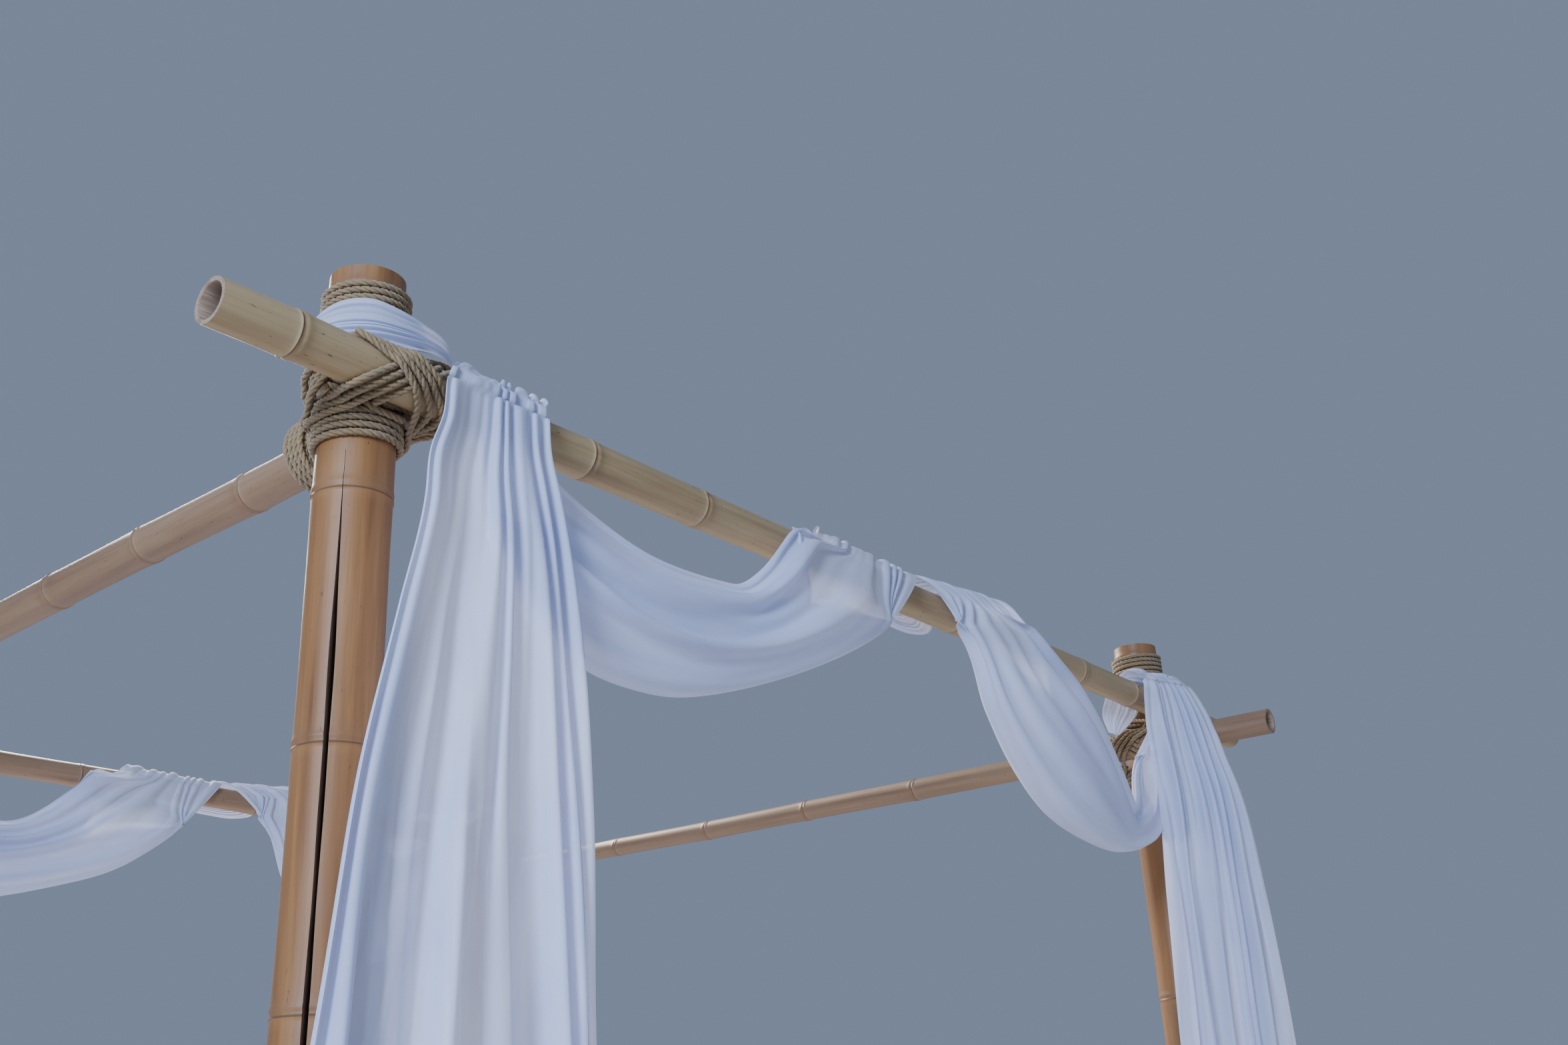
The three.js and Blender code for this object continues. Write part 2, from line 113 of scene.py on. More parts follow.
def distances(points):
    """How far along a line each of its points lies."""
    steps = np.linalg.norm(np.diff(points, axis=0), axis=1)
    return np.concatenate([[0], np.cumsum(steps)])


def along_path(path, along, at):
    return np.stack([np.interp(at, along, path[:, k]) for k in range(3)], axis=1)


def unit(vectors):
    return vectors / np.linalg.norm(vectors, axis=-1, keepdims=True)


def smooth_step(low, high, x):
    t = np.clip((x - low) / (high - low), 0, 1)
    return t * t * (3 - 2 * t)


def between(pair, share):
    return pair[0] + (pair[1] - pair[0]) * share


def grid(rows, columns, closed):
    """The faces between neighbouring rows of points. Closed rows join their last point to their first."""
    faces = []
    for k in range(rows - 1):
        for i in range(columns if closed else columns - 1):
            j = (i + 1) % columns
            faces.append((k * columns + i, k * columns + j, (k + 1) * columns + j, (k + 1) * columns + i))
    return faces


def set_attribute(mesh, name, values, kind="FLOAT"):
    field = "vector" if kind == "FLOAT_VECTOR" else "value"
    attribute = mesh.attributes.new(name, kind, "POINT")
    attribute.data.foreach_set(field, np.asarray(values, np.float32).ravel())


def new_object(name, data):
    thing = bpy.data.objects.new(name, data)
    bpy.context.scene.collection.objects.link(thing)
    return thing


def add_piece(name, vertices, faces, materials, node, sharp=40):
    """A piece of the object in place of its CAD nodes, with its materials."""
    mesh = bpy.data.meshes.new(name)
    mesh.from_pydata(np.asarray(vertices).tolist(), [], faces)
    mesh.polygons.foreach_set("use_smooth", [True] * len(faces))
    mesh.set_sharp_from_angle(angle=math.radians(sharp))
    for material in materials:
        mesh.materials.append(material)
    piece = new_object(name, mesh)
    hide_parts(*([node] if isinstance(node, str) else node))
    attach(piece, "root")
    return piece


# Where the culms stand and lie


def box_of(node):
    low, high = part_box(node)
    return np.array(low), np.array(high)


def place_post(letter, post):
    low, high = box_of(f"post_{letter}")
    x, y = (low + high)[:2] / 2
    start, end = np.array([x, y, low[2]]), np.array([x, y, high[2]])
    nodes = [height * MM for height in post["nodes"]]
    return {"start": start, "end": end, "radii": (POST_RADIUS, POST_RADIUS), "nodes": nodes}


def place_beam(name, beam, posts):
    axis = beam["axis"]
    low, high = box_of(name)
    first, second = sorted([posts["a"]["start"][axis], posts["c"]["start"][axis]])
    ends = []
    for s in (low[axis], high[axis]):
        share = (s - first) / (second - first)
        point = (low + high) / 2
        point[axis] = s
        point[2] = MM * between(beam["heights"], share)
        ends.append((point, MM * between(beam["radii"], share)))
    nodes = np.arange(beam["first"] * MM, high[axis] - 9 * MM, beam["pitch"] * MM) - low[axis]
    (start, radius_0), (end, radius_1) = ends
    return {"start": start, "end": end, "radii": (radius_0, radius_1), "nodes": nodes.tolist()}


posts = {letter: place_post(letter, post) for letter, post in POSTS.items()}
beams = {name: place_beam(name, beam, posts) for name, beam in BEAMS.items()}


def axis_of(culm):
    return unit(culm["end"] - culm["start"])


def radius_on(culm, points):
    """A culm's radius beside each point."""
    line = culm["end"] - culm["start"]
    share = np.clip((points - culm["start"]) @ line / (line @ line), 0, 1)
    return between(culm["radii"], share)


def length_of(culm):
    return float(np.linalg.norm(culm["end"] - culm["start"]))


def beside(culm, points):
    """How far along a culm each point is, the way out to it from the axis, and how far that is."""
    axis = axis_of(culm)
    rel = points - culm["start"]
    along = rel @ axis
    radial = rel - along[:, None] * axis
    return along, radial, np.linalg.norm(radial, axis=1)


def push_out(points, culm, reach):
    """Moves the points that are nearer to a culm's surface than reach straight out to it."""
    along, radial, away = beside(culm, points)
    need = radius_on(culm, points) + reach
    inside = (away < need) & (along > 0) & (along < length_of(culm))
    moved = points.copy()
    out = radial[inside] / np.maximum(away[inside, None], 1e-9)
    moved[inside] += out * (need - away)[inside, None]
    return moved


# Materials


class Graph:
    """Short ways to add the shader nodes that the materials share."""

    def __init__(self, name):
        self.material = bpy.data.materials.new(name)
        self.material.use_nodes = True
        self.nodes, self.links = self.material.node_tree.nodes, self.material.node_tree.links
        self.shader = self.nodes["Principled BSDF"]

    def feed(self, node, inputs, output):
        """Feeds a node's inputs with numbers, colours or other nodes' outputs, and returns its output."""
        for key, value in inputs.items():
            socket = node.inputs[key]
            if isinstance(value, (int, float)):
                socket.default_value = value
            elif isinstance(value, tuple):
                socket.default_value = value if socket.type == "VECTOR" else (*value, 1)
            else:
                self.links.new(value, socket)
        return node.outputs[output]

    def attribute(self, name, output="Fac"):
        node = self.nodes.new("ShaderNodeAttribute")
        node.attribute_name = name
        return node.outputs[output]

    def noise(self, vector, scale, detail, roughness=0.5):
        """Noise whose grain has its own scale in each direction."""
        scaled = self.nodes.new("ShaderNodeMapping")
        scaled = self.feed(scaled, {"Vector": vector, "Scale": scale}, "Vector")
        inputs = {"Vector": scaled, "Scale": 1, "Detail": detail, "Roughness": roughness}
        return self.feed(self.nodes.new("ShaderNodeTexNoise"), inputs, "Fac")

    def ramp(self, value, stops):
        node = self.nodes.new("ShaderNodeValToRGB")
        while len(node.color_ramp.elements) < len(stops):
            node.color_ramp.elements.new(0.5)
        for element, (position, color) in zip(node.color_ramp.elements, stops):
            element.position = position
            element.color = (*color, 1)
        self.links.new(value, node.inputs["Fac"])
        return node.outputs["Color"]

    def grey(self, value, low, high, bottom, top):
        node = self.nodes.new("ShaderNodeMapRange")
        node.interpolation_type = "SMOOTHSTEP"
        inputs = {"Value": value, "From Min": low, "From Max": high, "To Min": bottom, "To Max": top}
        return self.feed(node, inputs, "Result")

    def math(self, operation, a, b):
        node = self.nodes.new("ShaderNodeMath")
        node.operation = operation
        return self.feed(node, {0: a, 1: b}, "Value")

    def mix(self, factor, a, b):
        """The colour from a to b, by a factor."""
        node = self.nodes.new("ShaderNodeMix")
        node.data_type = "RGBA"
        return self.feed(node, {0: factor, 6: a, 7: b}, 2)

    def mix_shaders(self, factor, a, b):
        return self.feed(self.nodes.new("ShaderNodeMixShader"), {0: factor, 1: a, 2: b}, "Shader")

    def bump(self, height, strength, distance, **under):
        inputs = {"Height": height, "Strength": strength, "Distance": distance, **under}
        return self.feed(self.nodes.new("ShaderNodeBump"), inputs, "Normal")

    def paint(self, color, roughness, normal, **levels):
        """Feeds the material's own shader. Levels are its other inputs, with _ for a space."""
        inputs = {key.replace("_", " "): level for key, level in levels.items()}
        inputs.update({"Base Color": color, "Roughness": roughness, "Normal": normal})
        self.feed(self.shader, inputs, "BSDF")
        return self.material


def bamboo_skin(name, light, middle, dark):
    """Dried bamboo: streaks and fibres along the culm, dark node lines, waxy bands and specks."""
    g = Graph(name)
    skin = g.attribute("skin", "Vector")
    streaks = g.noise(skin, (34, 34, 1.6), 5, 0.6)
    fibres = g.noise(skin, (330, 330, 7), 3, 0.7)
    patches = g.noise(skin, (9, 9, 3), 3)
    specks = g.noise(skin, (190, 190, 60), 2, 0.6)
    color = g.ramp(streaks, [(0.3, dark), (0.47, middle), (0.7, light)])
    color = g.mix(g.grey(fibres, 0.35, 0.75, 0.0, 0.35), color, dark)
    color = g.mix(g.grey(patches, 0.5, 0.75, 0.0, 0.4), color, (0.36, 0.24, 0.13))
    color = g.mix(g.grey(g.attribute("tone"), 0.0, 1.0, 0.0, 0.3), color, light)
    color = g.mix(g.grey(specks, 0.68, 0.76, 0.0, 0.75), color, (0.09, 0.05, 0.03))
    above, below = g.attribute("above"), g.attribute("below")
    wax = g.grey(below, 0.002, 0.02, 1.0, 0.0)
    color = g.mix(g.math("MULTIPLY", wax, 0.3), color, light)
    dusk = g.grey(above, 0.004, 0.04, 1.0, 0.0)
    color = g.mix(g.math("MULTIPLY", dusk, 0.35), color, (0.26, 0.13, 0.06))
    line = g.math("MAXIMUM", g.grey(above, 0.001, 0.003, 1.0, 0.0), g.grey(below, 0.0002, 0.0012, 1.0, 0.0))
    color = g.mix(g.math("MULTIPLY", line, 0.8), color, (0.12, 0.065, 0.03))
    color = g.mix(g.attribute("scar"), color, (0.13, 0.075, 0.04))
    normal = g.bump(fibres, 0.25, 0.0006)
    normal = g.bump(streaks, 0.15, 0.001, Normal=normal)
    roughness = g.grey(streaks, 0.2, 0.8, 0.42, 0.6)
    return g.paint(color, roughness, normal, Coat_Weight=0.12, Coat_Roughness=0.35)


def bamboo_cut(name):
    """The cut ends and the inside of a culm: pale fibrous wood, with painted shade, nearly black, deep in
    its hollows and on the inner sides of its split.
    """
    g = Graph(name)
    skin = g.attribute("skin", "Vector")
    grain = g.noise(skin, (900, 900, 25), 2)
    stain = g.noise(skin, (40, 40, 12), 3)
    color = g.ramp(grain, [(0.3, (0.2, 0.12, 0.07)), (0.5, (0.42, 0.29, 0.19)), (0.72, (0.55, 0.4, 0.27))])
    color = g.mix(g.grey(stain, 0.45, 0.7, 0.0, 0.6), color, (0.2, 0.12, 0.09))
    # Painted shade: deep in each hollow end and inside the split, the wood turns nearly black.
    color = g.mix(g.attribute("painted_hollow_shade"), color, (0.03, 0.017, 0.01))
    return g.paint(color, g.grey(grain, 0.3, 0.7, 0.75, 0.9), g.bump(grain, 0.4, 0.0005))


def rope_fibre(name):
    """Twisted natural fibre: fine fibres that follow each strand, and painted shade in the grooves between
    strands.
    """
    g = Graph(name)
    lay = g.attribute("lay", "Vector")
    fibres = g.noise(lay, (1500, 1500, 90), 3, 0.65)
    patches = g.noise(lay, (60, 60, 9), 3)
    strands = [(0.28, (0.18, 0.1, 0.035)), (0.5, (0.4, 0.255, 0.1)), (0.75, (0.58, 0.41, 0.185))]
    color = g.ramp(fibres, strands)
    color = g.mix(g.grey(patches, 0.4, 0.7, 0.0, 0.45), color, (0.27, 0.2, 0.11))
    # Painted shade: darker in the grooves between strands and at the rope's ends.
    color = g.mix(g.grey(g.attribute("groove"), 0.55, 1.0, 0.0, 0.75), color, (0.06, 0.04, 0.022))
    roughness, normal = g.grey(fibres, 0.3, 0.7, 0.8, 0.95), g.bump(fibres, 0.7, 0.0009)
    return g.paint(color, roughness, normal, Sheen_Weight=0.3, Sheen_Roughness=0.6)


def sheer_cloth(name):
    """White voile: light passes through it, its weave and small creases show, and its hem is denser. Its
    colour holds painted shade: a blue-lavender tint, as of white cloth in sky-lit shade, darker in the
    small creases.
    """
    g = Graph(name)
    weave = g.attribute("weave", "Vector")
    crease_relief_and_shade = g.noise(weave, (26, 7, 1), 4, 0.6)
    threads = g.noise(weave, (900, 160, 1), 2)
    # Painted shade: the white cloth is coloured blue-lavender, as in sky-lit shade, and darker where its
    # small creases sink.
    color = g.ramp(crease_relief_and_shade, [(0.3, (0.69, 0.745, 0.95)), (0.7, (0.79, 0.83, 0.98))])
    normal = g.bump(crease_relief_and_shade, 0.25, 0.004)
    normal = g.bump(threads, 0.12, 0.0004, Normal=normal)
    levels = {"Sheen_Weight": 0.25, "Sheen_Roughness": 0.5, "Specular_IOR_Level": 0.25}
    g.paint(color, g.grey(threads, 0.3, 0.7, 0.7, 0.85), normal, **levels)
    through = g.nodes.new("ShaderNodeBsdfTranslucent")
    through = g.feed(through, {"Color": color, "Normal": normal}, "BSDF")
    clear = g.nodes.new("ShaderNodeBsdfTransparent").outputs["BSDF"]
    body = g.mix_shaders(0.24, g.shader.outputs["BSDF"], through)
    sheer = g.mix_shaders(g.grey(g.attribute("dense"), 0.0, 1.0, 0.1, 0.02), body, clear)
    g.links.new(sheer, g.nodes["Material Output"].inputs["Surface"])
    return g.material


post_skin = bamboo_skin("post_bamboo", (0.42, 0.2, 0.065), (0.3, 0.13, 0.04), (0.16, 0.065, 0.02))
# Painted light: the front beam's bamboo is a paler, lit copy, and the other beams' a browner, shaded copy,
# of the same bamboo.
lit_beam_skin = bamboo_skin("lit_copy_beam_bamboo", (0.6, 0.44, 0.225), (0.47, 0.31, 0.14), (0.28, 0.16, 0.07))
shaded_beam_skin = bamboo_skin("shaded_copy_beam_bamboo", (0.4, 0.25, 0.14), (0.31, 0.175, 0.092), (0.2, 0.105, 0.055))
cut_bamboo = bamboo_cut("cut_bamboo")
rope_material = rope_fibre("natural_rope")
cloth_material = sheer_cloth("white_voile")

# Bamboo culms

NODE_OFFSETS = np.array([-30, -14, -6, -2.8, -1.1, 0, 1.1, 2.8, 5, 8, 11, 15, 22, 36]) * MM
CULM_STEP = 30 * MM


def culm_rows(length, nodes, extra):
    """The heights of a culm's rows of points: even ones, close ones at its nodes and the extra ones."""
    rows = np.arange(0, length, CULM_STEP)
    rows = rows[[np.abs(z - nodes).min() > 40 * MM for z in rows]]
    around = (nodes[:, None] + NODE_OFFSETS).ravel()
    rows = np.unique(np.concatenate([[0, length], rows, around[(around > 0) & (around < length)], extra]))
    keep = np.concatenate([[True], np.diff(rows) > 0.6 * MM])
    rows = rows[keep]
    rows[-1] = length
    return rows


def node_relief(d):
    """How far a node stands out: its thin sheath scar, the groove over it, its ridge and its swelling."""
    scar = 1.5 * MM * np.exp(-((d / (1.7 * MM)) ** 2))
    groove = -0.5 * MM * np.exp(-(((d - 4.5 * MM) / (2 * MM)) ** 2))
    ridge = 1.3 * MM * np.exp(-(((d - 10 * MM) / (4.5 * MM)) ** 2))
    swelling = 0.7 * MM * np.exp(-((d / (42 * MM)) ** 2))
    return scar + groove + ridge + swelling


def column_angles(columns, split, widths):
    """The angle of each column in each row. With a split, two of them are its edges."""
    even = np.linspace(0, TURN, columns, endpoint=False)
    if split is None:
        return np.tile(even, (len(widths), 1))
    gap = widths[:, None] / 2
    rest = np.linspace(0, 1, columns - 1)[None, :]
    angles = split + gap + (TURN - 2 * gap) * rest
    return np.concatenate([angles, np.full((len(widths), 1), split)], axis=1)


class CulmSkin:
    """A culm's skin: its rows of points with their angles and radii, its middle's shift, tones and buds.
    branches is how deep the trough over each bud is."""

    def __init__(self, culm, seed, branches, columns, split):
        rng = np.random.default_rng(seed)
        self.length = length_of(culm)
        self.nodes = np.array(culm["nodes"])
        nodes = self.nodes
        extra = [] if split is None else np.linspace(SPLIT["low"], SPLIT["high"], 60)
        rows = culm_rows(self.length, nodes, extra)
        widths, sway = np.zeros(len(rows)), np.zeros(len(rows))
        if split is not None:
            ends = smooth_step(SPLIT["low"], SPLIT["low"] + 0.25, rows)
            ends = ends * smooth_step(SPLIT["high"], SPLIT["high"] - 0.35, rows)
            uneven = 1 + 0.18 * np.sin(rows * 9 + seed) + 0.1 * np.sin(rows * 31)
            widths = (0.6 * MM + SPLIT["width"] * ends * uneven) / POST_RADIUS
            sway = 0.014 * np.sin(rows * 3.1 + seed)
        angles = column_angles(columns, split, widths) + sway[:, None]
        base = between(culm["radii"], rows / self.length)
        signed = rows[:, None] - nodes
        closest = np.abs(signed).argmin(axis=1)
        nearest = signed[np.arange(len(rows)), closest]
        inter = np.searchsorted(nodes, rows + 0.5 * MM)
        self.tone = rng.random(len(nodes) + 1)[inter]
        facing = rng.uniform(0, TURN)
        facing = facing + np.pi * np.arange(len(nodes) + 1) + rng.normal(0, 0.3, len(nodes) + 1)
        self.starts = np.concatenate([[-1.0], nodes])
        above = rows - self.starts[inter]
        turn = np.angle(np.exp(1j * (angles - facing[inter][:, None])))
        trough = branches * np.exp(-((turn * base[:, None]) / (9 * MM)) ** 2)
        trough = trough * np.exp(-above / (90 * MM))[:, None]
        bud_z = np.exp(-(((nearest - 5 * MM) / (5 * MM)) ** 2))
        bud_turn = np.angle(np.exp(1j * (angles - facing[closest + 1][:, None])))
        self.bud = bud_z[:, None] * np.exp(-((bud_turn * base[:, None]) / (5 * MM)) ** 2)
        oval = 1 + 0.008 * np.cos(2 * (angles + rows[:, None] * 0.4 + seed))
        relief = node_relief(nearest)[:, None] - trough + branches * 1.6 * self.bud
        self.radius = base[:, None] * oval + relief
        strays = [np.interp(rows, nodes, rng.normal(0, 0.9 * MM, len(nodes))) for _ in range(2)]
        calm = smooth_step(0, 0.15, rows) * smooth_step(self.length, self.length - 0.3, rows)
        self.shift = np.stack(strays, axis=1) * calm[:, None]
        self.rows, self.angles = rows, angles
        self.grain = rng.uniform(0, 50)

    def ring(self, r, z, row):
        x = self.shift[row, 0] + r * np.cos(self.angles[row])
        y = self.shift[row, 1] + r * np.sin(self.angles[row])
        return np.stack([x, y, np.full(len(x), z)], axis=1)

    def end_rings(self, row, cup, outward, wall):
        """From the middle of an end out to its rim: the bottom of its hollow, its wall and its cut."""
        radius, rim = self.radius[row], self.rows[row]
        inner = radius.mean() - wall
        if cup is None:
            places = [(radius * share, rim, "cut") for share in (0.02, 0.5, 0.86, 0.985)]
        else:
            depth = rim - outward * cup
            # The rings deep in the hollow carry its painted shade.
            places = [(inner * share, depth, "painted_hollow_shade") for share in (0.02, 0.6, 0.93)]
            places += [(inner, depth + outward * rise, "painted_hollow_shade") for rise in (3 * MM, cup * 0.5)]
            places += [(inner, rim - outward * 1.5 * MM, "cut"), (inner + 1 * MM, rim, "cut"),
                       (radius - 1 * MM, rim, "cut")]
        return [(self.ring(r, z, row), kind) for r, z, kind in places]

    def rings(self, cups, wall):
        """All rings of points from the middle of one end to the middle of the other, with their kinds."""
        foot = self.end_rings(0, cups[0], -1, wall)
        skin = [(self.ring(self.radius[k], z, k), "skin") for k, z in enumerate(self.rows)]
        head = self.end_rings(len(self.rows) - 1, cups[1], 1, wall)
        return zip(*foot, *skin, *reversed(head))


def add_culm(name, culm, finish, wall, cups, seed, branches, columns, split=None):
    """A culm from its foot to its head. cups gives how deep each end is hollow, None for a flat one."""
    skin = CulmSkin(culm, seed, branches, columns, split)
    rings, kinds = skin.rings(cups, wall)
    rows, first, count = skin.rows, kinds.index("skin"), len(rings)
    last = first + len(rows) - 1
    points = np.concatenate(rings)
    faces = grid(count, columns, True)
    if split is not None:
        inside = np.where((rows >= SPLIT["low"]) & (rows <= SPLIT["high"]))[0]
        crack = range(first + inside[0], first + inside[-1])
        faces = [f for f in faces if f[0] // columns not in crack or f[0] % columns < columns - 2]
    material = [0 if first <= f[0] // columns < last else 1 for f in faces]
    faces.append(tuple(reversed(range(columns))))
    faces.append(tuple(range((count - 1) * columns, count * columns)))
    material += [1, 1]
    if split is not None:
        points, faces, material = open_split(points, faces, material, crack, columns, skin.shift, first)
    piece = add_piece(f"{name}_culm", to_culm(points, culm), faces, [finish, cut_bamboo], name)
    mesh = piece.data
    mesh.polygons.foreach_set("material_index", material)
    set_attribute(mesh, "skin", points + skin.grain, "FLOAT_VECTOR")
    index = np.minimum(np.arange(len(points)) // columns, count - 1)
    row_of = np.clip(index - first, 0, len(rows) - 1)
    lower = skin.starts[np.searchsorted(skin.nodes, rows + 0.7 * MM)]
    upper = np.concatenate([skin.nodes, [skin.length + 1]])[np.searchsorted(skin.nodes, rows - 0.7 * MM)]
    set_attribute(mesh, "above", np.clip(rows - lower, 0, 0.1)[row_of])
    set_attribute(mesh, "below", np.clip(upper - rows, 0, 0.1)[row_of])
    set_attribute(mesh, "tone", skin.tone[row_of])
    scars = np.zeros(len(points))
    scar = np.clip(branches / (2 * MM), 0, 1) * smooth_step(0.35, 0.8, skin.bud.ravel())
    scars[first * columns:(last + 1) * columns] = scar
    set_attribute(mesh, "scar", scars)
    # Painted shade mask: 1 deep in the hollows and on the split's inner sides, 0 on the cut rims and the
    # skin.
    painted_hollow_shade = np.array([1.0 if kind == "painted_hollow_shade" else 0.0 for kind in kinds])[index]
    painted_hollow_shade[count * columns:] = 1
    set_attribute(mesh, "painted_hollow_shade", painted_hollow_shade)


def open_split(points, faces, material, crack, columns, shift, first):
    """Closes a culm's split with its two inner sides, its back and its ends."""
    left, right = columns - 2, 0
    start = len(points)
    inner = []
    for k in [*crack, crack.stop]:
        for column in (left, right):
            point = points[k * columns + column].copy()
            centre = shift[k - first]
            out = point[:2] - centre
            point[:2] = centre + out * (1 - SPLIT["depth"] / np.linalg.norm(out))
            inner.append(point)
    points = np.concatenate([points, np.array(inner)])
    for step, k in enumerate(crack):
        near, far = start + 2 * step, start + 2 * step + 2
        a, b = k * columns + left, (k + 1) * columns + left
        c, d = k * columns + right, (k + 1) * columns + right
        faces += [(a, near, far, b), (near, near + 1, far + 1, far), (near + 1, c, d, far + 1)]
        material += [1, 1, 1]
    k = crack.start
    faces.append((k * columns + left, k * columns + columns - 1, k * columns + right, start + 1, start))
    k, end = crack.stop, start + 2 * len(crack)
    faces.append((k * columns + right, k * columns + columns - 1, k * columns + left, end, end + 1))
    material += [1, 1]
    return points, faces, material


def to_culm(points, culm):
    """From a culm's own frame, upright from the origin, to its place."""
    up = axis_of(culm)
    side = np.array([1.0, 0, 0]) if abs(up[2]) > 0.9 else np.array([0, 0, 1.0])
    side = unit(side - (side @ up) * up)
    return culm["start"] + points @ np.stack([side, np.cross(up, side), up])


for seed, (letter, post) in enumerate(posts.items()):
    face = math.radians(POSTS[letter]["split"])
    add_culm(f"post_{letter}", post, post_skin, POST_WALL, (None, HEAD_CUP), seed + 3,
             0.5 * MM, 52, split=face)
for seed, (name, beam) in enumerate(beams.items()):
    cups = (beam["nodes"][0], length_of(beam) - beam["nodes"][-1])
    # The front beam gets the lit copy, and the others get the shaded one.
    beam_skin = lit_beam_skin if name == "front_beam" else shaded_beam_skin
    add_culm(name, beam, beam_skin, BEAM_WALL, cups, seed + 21, 1.6 * MM, 40)

# Rope

# A rope ring's points: how far out each lies, and how much painted shade it gets, most in the grooves
# between strands.
LOBES = np.array([1.0, 0.95, 0.72, 0.95] * 3)
GROOVE_SHADE = np.array([0.0, 0.3, 1.0, 0.3] * 3)


def rope_tube(path, phase):
    """A three-strand rope along a path, closed at both ends, with where its fibres are and the painted
    shade of its grooves.
    """
    along = distances(path)
    at = np.linspace(0, along[-1], max(int(along[-1] / ROPE_STEP), 4))
    path = along_path(path, along, at)
    tangents = unit(np.gradient(path, axis=0))
    side = unit(np.cross(tangents[0], [0.31, 0.52, 0.79]))
    sides = []
    for tangent in tangents:
        side = unit(side - (side @ tangent) * tangent)
        sides.append(side)
    sides = np.array(sides)
    others = np.cross(tangents, sides)
    count = len(LOBES)
    base = np.arange(count) * TURN / count
    turn = base[None, :] + TURN * at[:, None] / LAY_LENGTH + phase
    radius = ROPE_RADIUS * LOBES[None, :, None]
    rings = sides[:, None] * np.cos(turn)[..., None] + others[:, None] * np.sin(turn)[..., None]
    points = path[:, None] + radius * rings
    ends = [path[0] - tangents[0] * 1.5 * MM, path[-1] + tangents[-1] * 1.5 * MM]
    vertices = np.concatenate([points.reshape(-1, 3), ends])
    faces = grid(len(path), count, True)
    last, first_end = (len(path) - 1) * count, len(path) * count
    for i in range(count):
        j = (i + 1) % count
        faces += [(j, i, first_end), (last + i, last + j, first_end + 1)]
    columns = np.stack([np.cos(base), np.sin(base)], axis=1) * ROPE_RADIUS
    lay = np.concatenate([np.tile(columns, (len(path), 1)), np.repeat(at, count)[:, None]], axis=1)
    lay = np.concatenate([lay, [[0, 0, 0], [0, 0, at[-1]]]]) + phase
    # The groove value is each point's painted shade.
    groove = np.concatenate([np.tile(GROOVE_SHADE, len(path)), [0.8, 0.8]])
    return vertices, faces, lay, groove


def add_rope(node, paths):
    vertices, faces, lays, groove_shades = [], [], [], []
    for k, path in enumerate(paths):
        points, quads, lay, groove = rope_tube(path, 1.7 * k)
        offset = sum(len(v) for v in vertices)
        faces += [tuple(i + offset for i in quad) for quad in quads]
        vertices.append(points)
        lays.append(lay)
        groove_shades.append(groove)
    points = np.concatenate(vertices)
    piece = add_piece(f"{node}_turns", points, faces, [rope_material], node, sharp=80)
    set_attribute(piece.data, "lay", np.concatenate(lays), "FLOAT_VECTOR")
    set_attribute(piece.data, "groove", np.concatenate(groove_shades))


def hull_radii(points, centre, angles):
    """How far the convex outline round some flat points lies from its centre, at each angle."""
    rel = points - centre
    corners = rel[convex_hull_2d(rel.tolist())]
    edge = np.roll(corners, -1, axis=0) - corners
    outward = np.stack([edge[:, 1], -edge[:, 0]], axis=1)
    support = np.einsum("ij,ij->i", outward, corners)
    facing = np.stack([np.cos(angles), np.sin(angles)], axis=1) @ outward.T
    return np.where(facing > 1e-12, support / np.maximum(facing, 1e-12), np.inf).min(axis=1)


def plane_section(culm, origin, across, along, reach):
    """Points round a culm's section by a plane, in the plane's own two directions."""
    axis = axis_of(culm)
    normal = np.cross(across, along)
    foot = culm["start"] + axis * ((origin - culm["start"]) @ normal) / (axis @ normal)
    turn = np.linspace(0, TURN, 48, endpoint=False)
    heading = np.cos(turn)[:, None] * across + np.sin(turn)[:, None] * along
    away = np.linalg.norm(heading - (heading @ axis)[:, None] * axis, axis=1)
    points = foot + heading * (radius_on(culm, foot[None])[0] + reach) / away[:, None]
    return np.stack([(points - origin) @ across, (points - origin) @ along], axis=1)


def crossing_turns(post, beam, height, tilt, layer, shift, start):
    """A rope wound tightly round a post and a beam together, in turns that are tilted by an angle."""
    origin = post["start"].copy()
    origin[2] = height
    beam_axis = axis_of(beam)
    to_beam = beam["start"] - origin
    across = unit(to_beam - (to_beam @ beam_axis) * beam_axis - [0, 0, to_beam[2]])
    level = unit(beam_axis * [1, 1, 0])
    along = math.cos(tilt) * level + math.sin(tilt) * np.array([0, 0, 1.0])
    normal = np.cross(across, along)
    angles = np.linspace(0, TURN, 73)
    turns = CROSSING_TURNS
    steps = np.linspace(0, turns, int(turns * 4) + 1)
    table = []
    for step in steps:
        place = origin + normal * ((step - turns / 2) * ROPE_PITCH + shift)
        outline = [plane_section(culm, place, across, along, ROPE_RADIUS + layer) for culm in (post, beam)]
        middle = np.array([CROSSING_MIDDLE, 0.0])
        table.append(hull_radii(np.concatenate(outline), middle, angles))
    table = np.array(table)
    count = int(turns * 130)
    at = np.linspace(0, turns, count)
    turn = (TURN * (at + start)) % TURN
    row = at / turns * (len(steps) - 1)
    low = np.minimum(row.astype(int), len(steps) - 2)
    part = row - low
    radius = np.empty(count)
    for k in range(count):
        here = np.interp(turn[k], angles, table[low[k]])
        radius[k] = here * (1 - part[k]) + np.interp(turn[k], angles, table[low[k] + 1]) * part[k]
    place = origin + normal * ((at - turns / 2) * ROPE_PITCH + shift)[:, None]
    flat = CROSSING_MIDDLE + radius * np.cos(turn), radius * np.sin(turn)
    return place + flat[0][:, None] * across + flat[1][:, None] * along


